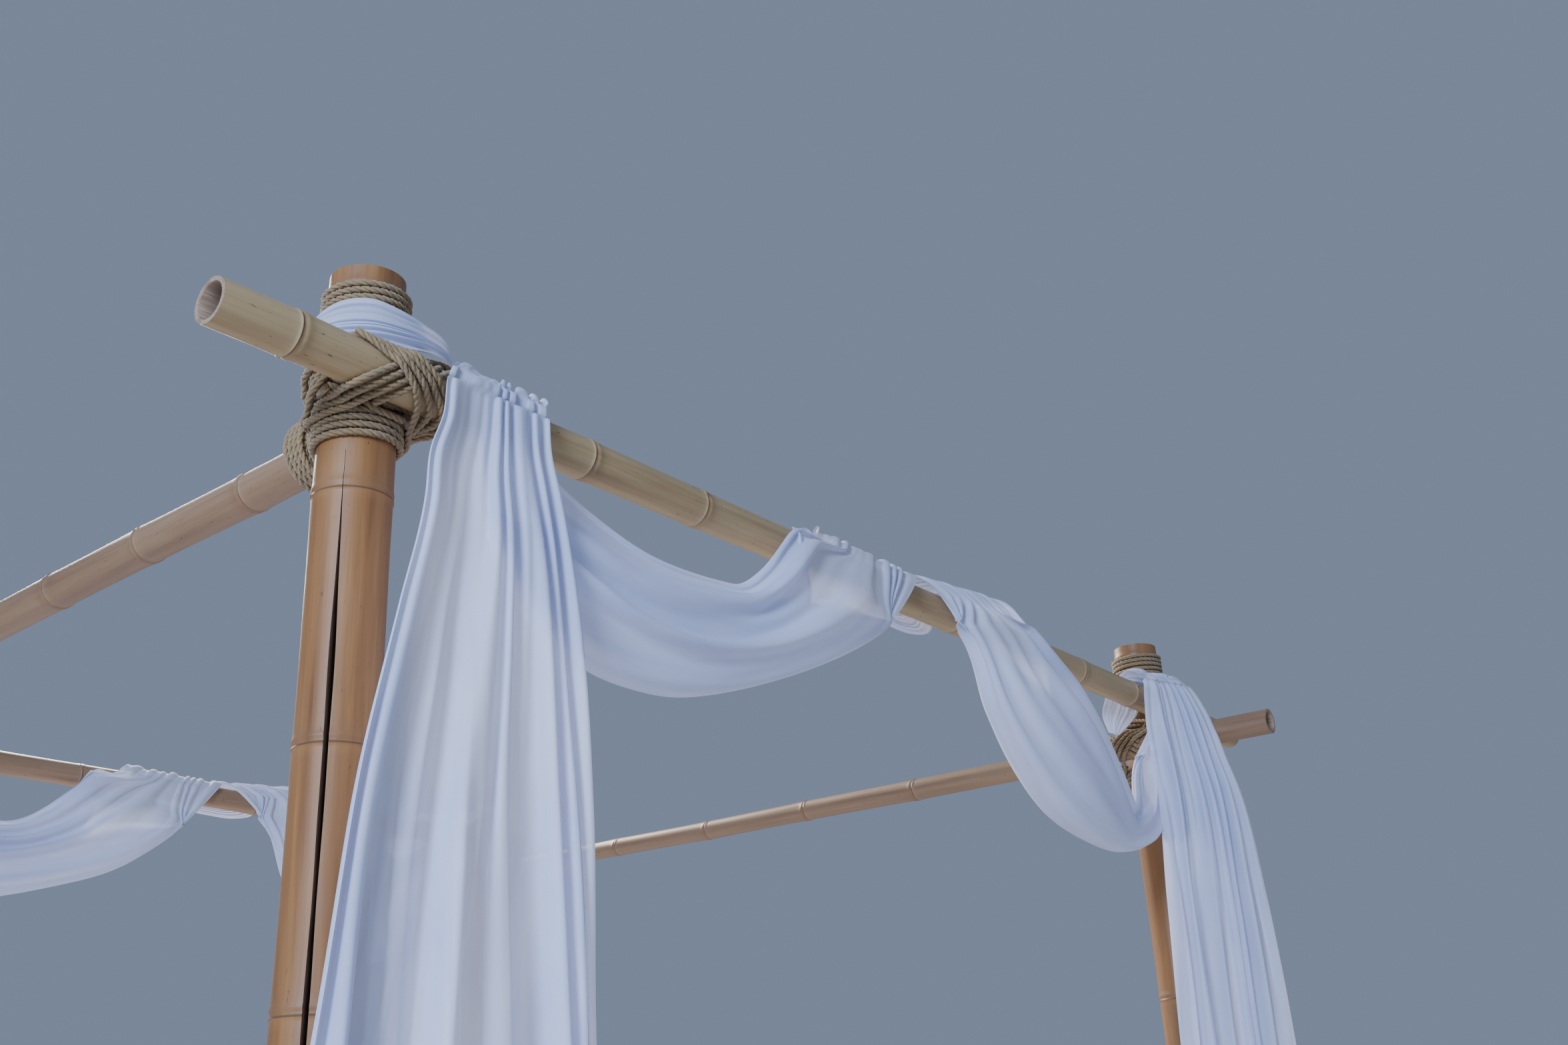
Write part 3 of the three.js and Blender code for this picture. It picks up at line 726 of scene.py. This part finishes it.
def ring_turns(culm, low, turns, layer, start, uneven, seed):
    """A rope wound round one culm, from a distance along it, a rope's width further with each turn."""
    rng = np.random.default_rng(seed)
    count = int(turns * 90)
    at = np.linspace(0, turns, count)
    turn = TURN * (at + start)
    knots = np.arange(0, turns + 1.3, 0.33)
    wobble = spline(rng.normal(0, uneven, len(knots)), knots, at)[:, 0]
    z = low + at * ROPE_PITCH + wobble
    centre = culm["start"] + axis_of(culm) * z[:, None]
    radius = radius_on(culm, centre) + ROPE_RADIUS + layer + np.abs(wobble) * 0.5
    local = np.stack([radius * np.cos(turn), radius * np.sin(turn), z], axis=1)
    return to_culm(local, culm)


def settle(path, near, earlier):
    """Lays a wound rope on the culms near it and on the ropes laid before it."""
    laid = np.concatenate([[FAR_AWAY], *earlier])
    tree = KDTree(len(laid))
    for k, point in enumerate(laid):
        tree.insert(point, k)
    tree.balance()
    for _ in range(SETTLE_ROUNDS):
        smooth = path.copy()
        smooth[1:-1] = 0.5 * path[1:-1] + 0.25 * (path[:-2] + path[2:])
        path = smooth
        out = np.zeros_like(path)
        for culm in near:
            path = push_out(path, culm, ROPE_RADIUS)
            _, radial, away = beside(culm, path)
            gap = np.maximum(away - radius_on(culm, path), 0)
            out += radial / away[:, None] * np.exp(-gap / CULM_PULL)[:, None]
        out = out / np.maximum(np.linalg.norm(out, axis=1), 1e-9)[:, None]
        lift = np.array([max(0.0, NEST - tree.find(point)[2]) for point in path])
        path = path + out * np.minimum(lift, LIFT_STEP)[:, None]
    return path


def even_path(path):
    along = distances(path)
    return along_path(path, along, np.linspace(0, along[-1], int(along[-1] / PATH_STEP)))


def height_at(beam, point):
    """The height of a beam's axis beside a point."""
    axis = axis_of(beam)
    return (beam["start"] + axis * ((point - beam["start"]) @ axis))[2]


def add_corner_ropes(letter, along_beam, side_beam, seed):
    """A corner's lashing, the wrap round its post's head and the collar on its side beam."""
    post, main, side = posts[letter], beams[along_beam], beams[side_beam]
    near = [post, main, side]
    heights = {"main": height_at(main, post["start"]), "side": height_at(side, post["start"])}
    earlier = []

    def lay_rope(path):
        path = settle(even_path(path), near, earlier)
        earlier.append(path)
        return path

    below = min(heights.values()) - 36 * MM - 4 * ROPE_PITCH
    above = max(heights.values()) + 36 * MM
    lashing = [lay_rope(ring_turns(post, below, BELOW_TURNS, 0, 0.1, 0.4 * MM, seed)),
               lay_rope(ring_turns(post, above, ABOVE_TURNS, 0, 0.4, 0.4 * MM, seed + 1))]
    for which, tilt, shift in CROSSINGS:
        beam = side if which == "side" else main
        layer = 0.0 if tilt > 0 else 3 * MM
        path = crossing_turns(post, beam, heights[which], tilt, layer, shift, 0.3 + 0.11 * seed)
        lashing.append(lay_rope(path))
    add_rope(f"corner_lashing_{letter}", lashing)

    top = post["end"][2]
    wrap_low = top - HEAD_WRAP["below_top"] - HEAD_WRAP["turns"] * 2 * ROPE_RADIUS + ROPE_RADIUS
    wrap = ring_turns(post, wrap_low, HEAD_WRAP["turns"] - 0.9, 0, 0.2, 0.5 * MM, seed + 2)
    add_rope(f"head_rope_{letter}", [wrap])
    low, high = box_of(f"rope_collar_{letter}")
    first = (low[1] if side["start"][1] < side["end"][1] else high[1]) - side["start"][1]
    turns = (high[1] - low[1] - 2 * ROPE_RADIUS) / ROPE_PITCH
    layers = []
    for k in range(COLLAR_LAYERS):
        begin = first + (1 + 1.4 * k) * ROPE_RADIUS
        layer = 1.7 * k * ROPE_RADIUS
        layers.append(ring_turns(side, begin, turns - 1.25 * k, layer, 0.3 - 0.2 * k, 0.5 * MM, seed + k))
    add_rope(f"rope_collar_{letter}", layers)


for seed, (letter, main, side) in enumerate((
    ("a", "front_beam", "left_beam"), ("b", "front_beam", "right_beam"),
    ("c", "back_beam", "right_beam"), ("d", "back_beam", "left_beam"),
)):
    add_corner_ropes(letter, main, side, 10 * seed + 5)

# Cloth

# Each side's beam and posts. Shift moves the middle of its swags along the beam, drop lowers them, and
# start and end move their outer ends, in mm.
SIDES = {
    "front": {"beam": "front_beam", "posts": "ab", "shift": 0, "drop": 0, "start": 0, "end": 0},
    "back": {"beam": "back_beam", "posts": "dc", "shift": 190, "drop": 50, "start": 40, "end": -35},
}
# How the curtains hang, in mm, with heights written for the front beam. An edge row is a height, the
# left edge's x and how far out from the beam it hangs, the same of the right edge, and the depth of
# the pleats. An over row crosses the beam: an angle round it, the left and the right edge's x, the
# depth of the pleats, and how far the left and the right edge stand off. Pleats is how many there are.
FRONT_HEIGHT = 2264
CURTAINS = {
    "front_left": {
        "pleats": 5.5,
        "edges": [
            [6, -1400, 78, -838, 78, 26], [350, -1398, 78, -848, 78, 26],
            [700, -1391, 76, -860, 76, 26], [1409, -1328, 72, -904, 72, 25],
            [1690, -1298, 68, -918, 68, 22], [1916, -1248, 64, -941, 64, 18],
            [2080, -1212, 60, -966, 60, 14], [2150, -1206, 58, -980, 58, 11],
            [2210, -1186, 56, -994, 56, 8],
        ],
        "over": [[5, -1182, -998, 5, 3, 3], [35, -1165, -990, 4, 4, 4], [65, -1135, -978, 4, 5, 5],
                 [95, -1104, -964, 4, 5, 5], [135, -1080, -962, 4, 3, 3]],
    },
    "front_right": {
        "pleats": 4.8,
        "edges": [
            [6, 822, 62, 1090, 228, 33], [350, 828, 62, 1092, 226, 33],
            [700, 841, 60, 1094, 220, 33], [1440, 877, 60, 1100, 202, 31],
            [1780, 925, 58, 1105, 192, 28], [2030, 953, 56, 1110, 172, 23],
            [2100, 946, 56, 1110, 155, 19], [2180, 932, 57, 1110, 137, 14],
            [2240, 934, 58, 1114, 116, 10],
        ],
        "over": [[20, 938, 1122, 7, 3, 35], [45, 938, 1124, 6, 4, 27], [75, 945, 1126, 5, 4, 18],
                 [105, 958, 1122, 4, 4, 12], [140, 978, 1112, 4, 2, 6]],
    },
    "back_left": {
        "pleats": 5.8,
        "edges": [
            [6, -1130, 78, -730, 78, 24], [700, -1126, 76, -750, 76, 24],
            [1400, -1120, 74, -770, 74, 22], [1900, -1100, 66, -860, 66, 17],
            [2060, -1084, 60, -920, 60, 13], [2190, -1082, 57, -955, 57, 9],
        ],
        "over": [[10, -1082, -958, 5, 3, 3], [45, -1082, -962, 4, 4, 4], [80, -1080, -965, 4, 4, 4]],
    },
    "back_right": {
        "pleats": 5.8,
        "edges": [
            [6, 700, 78, 1130, 78, 24], [700, 722, 76, 1125, 76, 24],
            [1400, 745, 74, 1120, 74, 22], [1900, 850, 70, 1098, 70, 17],
            [2060, 920, 60, 1090, 60, 13], [2190, 955, 57, 1088, 57, 9],
        ],
        "over": [[10, 958, 1088, 5, 3, 3], [45, 960, 1088, 4, 4, 4], [80, 960, 1086, 4, 4, 4]],
    },
}
# A swag's row is its lower edge's x and z, its upper edge's x and z, how far out from the beam it
# hangs, the depth of its pleats and how far its section is rolled. A row over the beam is an angle,
# its lower and its upper edge's x, the depth of its pleats and how far either edge stands off.
LEFT_SWAG = [
    [150, -1092, -1010, 4, 2, 2], [95, -1098, -1004, 4, 3, 3], [50, -1104, -998, 4, 4, 4],
    [10, -1106, -988, 5, 4, 4],
    [-1098, 2165, -1000, 2230, 32, 8, 0.15], [-1050, 2076, -986, 2228, 22, 11, 0.4],
    [-975, 1992, -950, 2212, 16, 15, 0.75], [-880, 1938, -876, 2180, 18, 18, 1],
    [-750, 1916, -750, 2138, 28, 19, 1], [-600, 1940, -590, 2132, 36, 19, 1],
    [-460, 1990, -535, 2136, 46, 19, 0.95], [-335, 2046, -488, 2174, 58, 18, 0.8],
    [-205, 2118, -440, 2230, 60, 14, 0.5], [-110, 2187, -392, 2280, 54, 9, 0.2],
    [15, -28, -352, 5, 6, 10], [45, -8, -325, 4, 6, 12], [90, 5, -285, 4, 5, 10], [140, 5, -220, 4, 3, 5],
]
# The loop behind the beam: where its lower and upper edge are along it, then their heights
BACK_LOOP = [[6, -165, 2262, 2238], [6, -90, 2266, 2226], [6, 6, 2268, 2220], [6, 96, 2266, 2222],
             [4, 150, 2262, 2236]]
RIGHT_SWAG = [
    [140, -20, 180, 4, 3, 6], [90, -14, 270, 4, 5, 26], [50, 0, 322, 5, 6, 30], [15, 48, 366, 7, 6, 22],
    [148, 2206, 396, 2276, 62, 12, 0.35], [220, 2072, 458, 2233, 68, 16, 0.6],
    [315, 1968, 548, 2188, 68, 17, 0.85], [448, 1886, 640, 2124, 62, 16, 1],
    [608, 1854, 724, 2040, 54, 15, 1], [775, 1858, 812, 1958, 42, 12, 0.9],
    [948, 1912, 862, 1990, 32, 10, 0.7], [1042, 2002, 906, 2062, 20, 9, 0.45],
    [1066, 2105, 952, 2116, 18, 8, 0.2], [1080, 2182, 1003, 2188, 28, 7, 0],
    [10, 1090, 1020, 5, 2, 2], [50, 1092, 1005, 4, 2, 2], [95, 1090, 985, 4, 2, 2],
    [150, 1088, 950, 4, 1, 1],
    [1086, 2250, 926, 2250, -42, 5, 0], [1035, 2212, 903, 2204, -42, 5, 0],
    [968, 2172, 922, 2170, -42, 4, 0],
]
# A swag's section across its width: how high each place is and how far out, as shares of its height
SWAG_SECTION = np.array([
    [0.0, 0.86, -0.09], [0.12, 0.52, -0.17], [0.22, 0.22, -0.19], [0.29, 0.04, -0.11], [0.325, 0.0, -0.02],
    [0.37, 0.05, 0.07], [0.48, 0.29, 0.13], [0.6, 0.58, 0.11], [0.71, 0.87, 0.05], [0.76, 0.985, -0.015],
    [0.8, 0.95, -0.07], [0.9, 0.68, -0.11], [1.0, 0.4, -0.1],
])
CLOTH_WIDTH = 0.71
CLOTH_COLUMNS = 140
SWAG_PLEATS = 7.5
PLEAT_STEEPNESS = 0.75
PROUD = 3 * MM
UNDER_LAYER = 13 * MM
# How far apart a sheet's rows of points lie: where a curtain falls and gathers, and elsewhere
FALL_STEP = 15 * MM
GATHER_STEP = 9 * MM
SWAG_STEP = 11 * MM
OVER_STEP = 7 * MM
HEAD_STEP = 6 * MM
# The cloth round a post's head, on its way round: an angle, then how far from the post's axis and
# how high its upper edge is, then the same of its lower edge. It ends under its own start.
HEAD_COURSE = [
    [12, 132, 2366, 134, 2340], [35, 108, 2374, 120, 2332], [60, 84, 2376, 108, 2322],
    [90, 73, 2382, 104, 2306], [120, 72, 2388, 104, 2298], [150, 71, 2386, 102, 2296],
    [185, 70, 2378, 94, 2300], [225, 69, 2374, 80, 2322], [270, 68, 2372, 70, 2332],
    [315, 67, 2372, 69, 2334], [360, 66, 2370, 72, 2336], [400, 66, 2366, 74, 2338],
]
# How much of that height the cloth takes up at each post
HEAD_BAND = {"a": 1.0, "b": 0.5, "c": 0.7, "d": 0.8}


def wander(x, y, seed):
    """An uneven value of about -1 to 1 that changes smoothly over x and y, both counted in waves."""
    rng = np.random.default_rng(seed)
    total = 0
    for _ in range(4):
        a, b = rng.uniform(0.55, 1.35, 2)
        p, q = rng.uniform(0, TURN, 2)
        total = total + np.sin(TURN * a * x + p + 1.4 * np.sin(TURN * b * y + q))
    return total / 2.4


def pleats(v, s, count, seed):
    """Uneven pleats over a cloth's width v and length s: how far out each place is, and aside."""
    rng = np.random.default_rng(seed)
    p = rng.uniform(0, TURN, 4)
    warped = v + (0.5 * np.sin(TURN * v + p[0] + 0.9 * s)
                  + 0.3 * np.sin(4.4 * math.pi * v + p[1] - 1.3 * s)
                  + 0.16 * np.sin(7.3 * math.pi * v + p[2] + 2.1 * s)) / count
    phase = TURN * count * warped
    size = 0.8 + 0.34 * wander(v * count / 2.3, s * 0.55, seed + 1)
    out = size * (np.cos(phase) + 0.2 * np.cos(2 * phase + p[3]))
    out += 0.2 * wander(v * count * 1.35, s * 0.9, seed + 2)
    aside = PLEAT_STEEPNESS * np.sin(2 * phase) / (4 * math.pi * count)
    return out, aside


def cloth_points(stations, pleat_count, seed):
    """A pleated sheet's points in rows, its shares across and its rows' places along. A station has the
    ends of a row, the way it faces, the depth of its pleats, its roll and how far apart the rows lie."""
    rows_a, rows_b, facing, depths, rolls, steps = (np.array(x, float) for x in zip(*stations))
    knots = distances((rows_a + rows_b) / 2)
    fine = np.linspace(0, knots[-1], 1200)
    steps = np.interp(fine, knots, steps)
    cost = np.concatenate([[0], np.cumsum(np.diff(fine) / ((steps[1:] + steps[:-1]) / 2))])
    at = np.interp(np.linspace(0, cost[-1], int(cost[-1]) + 2), cost, fine)
    a, b = spline(rows_a, knots, at), spline(rows_b, knots, at)
    face = spline(facing, knots, at)
    depth, roll = (np.interp(at, knots, x)[:, None] for x in (depths, rolls))
    v = np.linspace(0, 1, CLOTH_COLUMNS)[None, :]
    s = at[:, None]
    edge = b - a
    width = np.linalg.norm(edge, axis=1)[:, None]
    across = unit(edge)
    face = unit(face - np.sum(face * across, axis=1, keepdims=True) * across)
    section = spline(SWAG_SECTION[:, 1:], SWAG_SECTION[:, 0], v[0])
    high = v * (1 - roll) + section[:, 0][None, :] * roll
    foot = high.min(axis=1, keepdims=True)
    high = (high - foot) / (high.max(axis=1, keepdims=True) - foot)
    out = section[:, 1][None, :] * roll * width
    slope_high = np.gradient(high, v[0], axis=1) * width
    slope_out = np.gradient(out, v[0], axis=1)
    size = np.hypot(slope_high, slope_out)
    fold, aside = pleats(v, s, pleat_count, seed)
    calm = 1 - roll * 0.55 * (1 - smooth_step(0.37, 0.66, v)) * smooth_step(0.2, 0.32, v)
    fold = fold * depth * calm
    aside = aside * width * calm
    high_move = (fold * -slope_out + aside * slope_high) / size
    out_move = (fold * slope_high + aside * slope_out) / size
    points = a[:, None] + across[:, None] * (high * width + high_move)[..., None]
    points = points + face[:, None] * (out + out_move)[..., None]
    return points.reshape(-1, 3), v, at


def add_cloth(name, stations, pleat_count, seed, keep_off, replaced):
    """A sheet through its stations that stays off its culms, with where each point lies on the flat cloth.
    """
    points, v, at = cloth_points(stations, pleat_count, seed)
    s = at[:, None]
    for culm in keep_off:
        points = push_out(points, culm, PROUD)
    points[:, 2] = np.maximum(points[:, 2], 2 * MM)
    faces = grid(len(at), CLOTH_COLUMNS, False)
    piece = add_piece(name, points, faces, [cloth_material], replaced, sharp=180)
    place = np.stack(np.broadcast_arrays(v * CLOTH_WIDTH, s, 0 * s), axis=2)
    set_attribute(piece.data, "weave", place, "FLOAT_VECTOR")
    side = np.minimum(v, 1 - v) * CLOTH_WIDTH
    end = np.minimum(s, at[-1] - s)
    dense = np.maximum(smooth_step(0.016, 0.01, side), smooth_step(0.034, 0.028, end))
    set_attribute(piece.data, "dense", dense)


class Side:
    """One draped side: its beam and the way that its mm values are placed round it."""

    def __init__(self, name):
        self.name = name
        self.values = SIDES[name]
        self.beam_name = self.values["beam"]
        self.beam = beams[self.beam_name]
        self.y = float(self.beam["start"][1])
        self.z = float(self.beam["start"][2])
        self.radius = self.beam["radii"][0]

    def x(self, x):
        """The middle of the cloth is shifted along the beam, and its ends stay."""
        return (x + self.values["shift"] * min(max((750 - abs(x)) / 400, 0), 1)) * MM

    def at(self, x, z, out):
        return [self.x(x), self.y - out * MM, self.z + (z - FRONT_HEIGHT) * MM]

    def over(self, angle, from_x, to_x, depth, lifts, layer=0.0):
        """A row that crosses the beam at an angle, and stands off it by a lift at either end."""
        turn = math.radians(angle)
        face = [0, -math.cos(turn), math.sin(turn)]
        base = self.radius + 1.2 * MM + PROUD + depth * MM + layer
        ends = []
        for x, lift in zip((from_x, to_x), lifts):
            reach = base + lift * MM
            ends.append([self.x(x), self.y + face[1] * reach, self.z + face[2] * reach])
        return (*ends, face, depth * MM, 0, OVER_STEP)


def swag_stations(side):
    start, end = side.values["start"], side.values["end"]

    def moved(x):
        if x < -940:
            return x + start
        return x + end if x > 860 else x

    def row(value):
        if len(value) == 6:
            angle, low, high, depth, *lifts = value
            return side.over(angle, moved(low), moved(high), depth, lifts)
        low, low_z, high, high_z, out, depth, roll = value
        drop = side.values["drop"] * roll
        edges = [side.at(moved(low), low_z - drop, out), side.at(moved(high), high_z - drop / 2, out)]
        return (*edges, [0, -math.copysign(1, out), 0], depth * MM, roll, SWAG_STEP)

    behind = side.radius / MM + 12
    loop = []
    for low_x, high_x, low_z, high_z in BACK_LOOP:
        edges = [side.at(low_x, low_z, -behind), side.at(high_x, high_z, -behind)]
        loop.append((*edges, [0, 1, 0], 4 * MM, 0, OVER_STEP))
    return [*map(row, LEFT_SWAG), *loop, *map(row, RIGHT_SWAG)]


def curtain_stations(side, hand, letter):
    """From the hem up over the beam, and on round the post's head. hand is 1 at a left post."""
    table = CURTAINS[f"{side.name}_{'left' if hand > 0 else 'right'}"]
    px, py = posts[letter]["start"][:2]
    outer = math.copysign(1, side.y - py)
    stations = []
    for z, left, left_out, right, right_out, depth in table["edges"]:
        near, far = ((left, left_out), (right, right_out))[::hand]
        height = z * MM if z < 1000 else side.z + (z - FRONT_HEIGHT) * MM
        points = [[x * MM, side.y - out * MM, height] for x, out in (near, far)]
        face = [(near[1] - far[1]) * hand, -abs(far[0] - near[0]), 0]
        stations.append((*points, face, depth * MM, 0, GATHER_STEP if z > 2000 else FALL_STEP))
    for angle, left, right, depth, *lifts in table["over"]:
        near, far = (left, right)[::hand]
        stations.append(side.over(angle, near, far, depth, lifts[::hand], UNDER_LAYER))
    near, far = ((x * MM - px) * hand for x in table["over"][-1][1:3][::hand])
    stations += lead_stations(side, px, hand, near, far, outer)
    return stations + head_stations(side, px, py, hand, outer, HEAD_BAND[letter])


def lead_stations(side, px, hand, near, far, outer):
    """Two rows that lead the cloth from the beam to the post's head, behind the beam or on top of it."""
    if outer < 0:
        leads = [
            (near, 0.05, 0.03, near + 0.5 * (far - near), 0.05, -0.01, [0, 1, 0]),
            (near - 0.006, 0.05, 0.07, near + 0.02, 0.05, 0.02, [0, 1, 0]),
        ]
    else:
        top = side.radius + 0.02
        leads = [
            (near + 0.002, 0.002, top, far - 0.012, 0.03, top - 0.004, [0, 0.2, 1]),
            (near - 0.002, -0.004, top + 0.02, near + 0.04, 0.036, top + 0.006, [0, 0.4, 1]),
        ]
    stations = []
    for *places, face in leads:
        ends = [[px + hand * x, side.y + y, side.z + z] for x, y, z in (places[:3], places[3:])]
        stations.append((*ends, face, 6 * MM, 0, OVER_STEP))
    return stations


def head_stations(side, px, py, hand, outer, band):
    """The rows that take a curtain's cloth once round its post's head."""
    stations = []
    for angle, *edges in HEAD_COURSE:
        turn = math.radians(angle)
        out = [hand * math.cos(turn), outer * math.sin(turn)]
        high_reach, high, low_reach, low = edges
        high = low + (high - low) * band
        ends = [[px + out[0] * reach * MM, py + out[1] * reach * MM, side.z + (z - FRONT_HEIGHT) * MM]
                for reach, z in ((high_reach, high), (low_reach, low))]
        stations.append((*ends, [outer * out[0], outer * out[1], 0], 5 * MM, 0, HEAD_STEP))
    return stations


for side, seed in ((Side("front"), 40), (Side("back"), 70)):
    name = side.name
    nodes = [f"{name}_swag_left", f"{name}_swag_back_loop", f"{name}_swag_right"]
    add_cloth(f"{name}_swags", swag_stations(side), SWAG_PLEATS, seed, [side.beam], nodes)
    for hand, letter in zip((1, -1), side.values["posts"]):
        place = "left" if hand > 0 else "right"
        nodes = [f"{name}_curtain_{place}", f"{name}_head_cloth_{place}"]
        keep_off = [side.beam, posts[letter], beams[f"{place}_beam"]]
        stations = curtain_stations(side, hand, letter)
        pleat_count = CURTAINS[f"{name}_{place}"]["pleats"]
        add_cloth(f"{name}_{place}_drape", stations, pleat_count, seed + 10 + hand, keep_off,
                  nodes)

# Camera, light and floor

FLOOR_HALF = 30.0
LENS = 35.14
CAMERA = (-2.372, -2.854, 1.257)
FORWARD = (0.73235, 0.56114, 0.38573)
RIGHT = (0.62164, -0.78215, -0.04243)


def add_aimed(name, data, location, side, back):
    """A camera or a light, with the direction to its right and the one that lies behind it."""
    thing = new_object(name, data)
    matrix = np.eye(4)
    matrix[:3, 0], matrix[:3, 1], matrix[:3, 2], matrix[:3, 3] = side, np.cross(back, side), back, location
    thing.matrix_world = Matrix(matrix.tolist())
    return thing


def add_camera():
    data = bpy.data.cameras.new("camera")
    data.lens, data.sensor_width, data.sensor_fit = LENS, 36, "HORIZONTAL"
    right, back = unit(np.array(RIGHT)), -unit(np.array(FORWARD))
    bpy.context.scene.camera = add_aimed("camera", data, CAMERA, right, back)


def add_light(name, location, target, size, power, color):
    data = bpy.data.lights.new(name, "AREA")
    data.shape, data.size, data.energy, data.color = "DISK", size, power, color
    back = unit(np.array(location, float) - np.array(target, float))
    add_aimed(name, data, location, unit(np.cross([0, 0, 1], back)), back)


def add_stage():
    g = Graph("studio_floor")
    place = g.nodes.new("ShaderNodeTexCoord").outputs["Object"]
    tone = g.noise(place, (0.5, 0.5, 0.5), 2)
    color = g.ramp(tone, [(0.3, (0.56, 0.56, 0.57)), (0.7, (0.6, 0.6, 0.61))])
    g.paint(color, g.grey(tone, 0.3, 0.7, 0.75, 0.85), g.bump(tone, 0.05, 0.001))
    size = FLOOR_HALF
    corners = [(-size, -size, 0), (size, -size, 0), (size, size, 0), (-size, size, 0)]
    mesh = bpy.data.meshes.new("floor")
    mesh.from_pydata(corners, [], [(0, 1, 2, 3)])
    mesh.materials.append(g.material)
    new_object("floor", mesh)
    world = bpy.data.worlds.new("studio")
    bpy.context.scene.world = world
    world.use_nodes = True
    background = world.node_tree.nodes["Background"]
    background.inputs["Color"].default_value = (0.38, 0.48, 0.68, 1)
    background.inputs["Strength"].default_value = 0.5


add_camera()
add_stage()
add_light("key", (1.5, 5.5, 6.0), (0, 0, 1.6), 3.0, 900, (1.0, 0.92, 0.82))
add_light("fill", (-6.0, -3.2, 3.2), (0, -1, 1.7), 2.0, 420, (0.56, 0.7, 1.0))
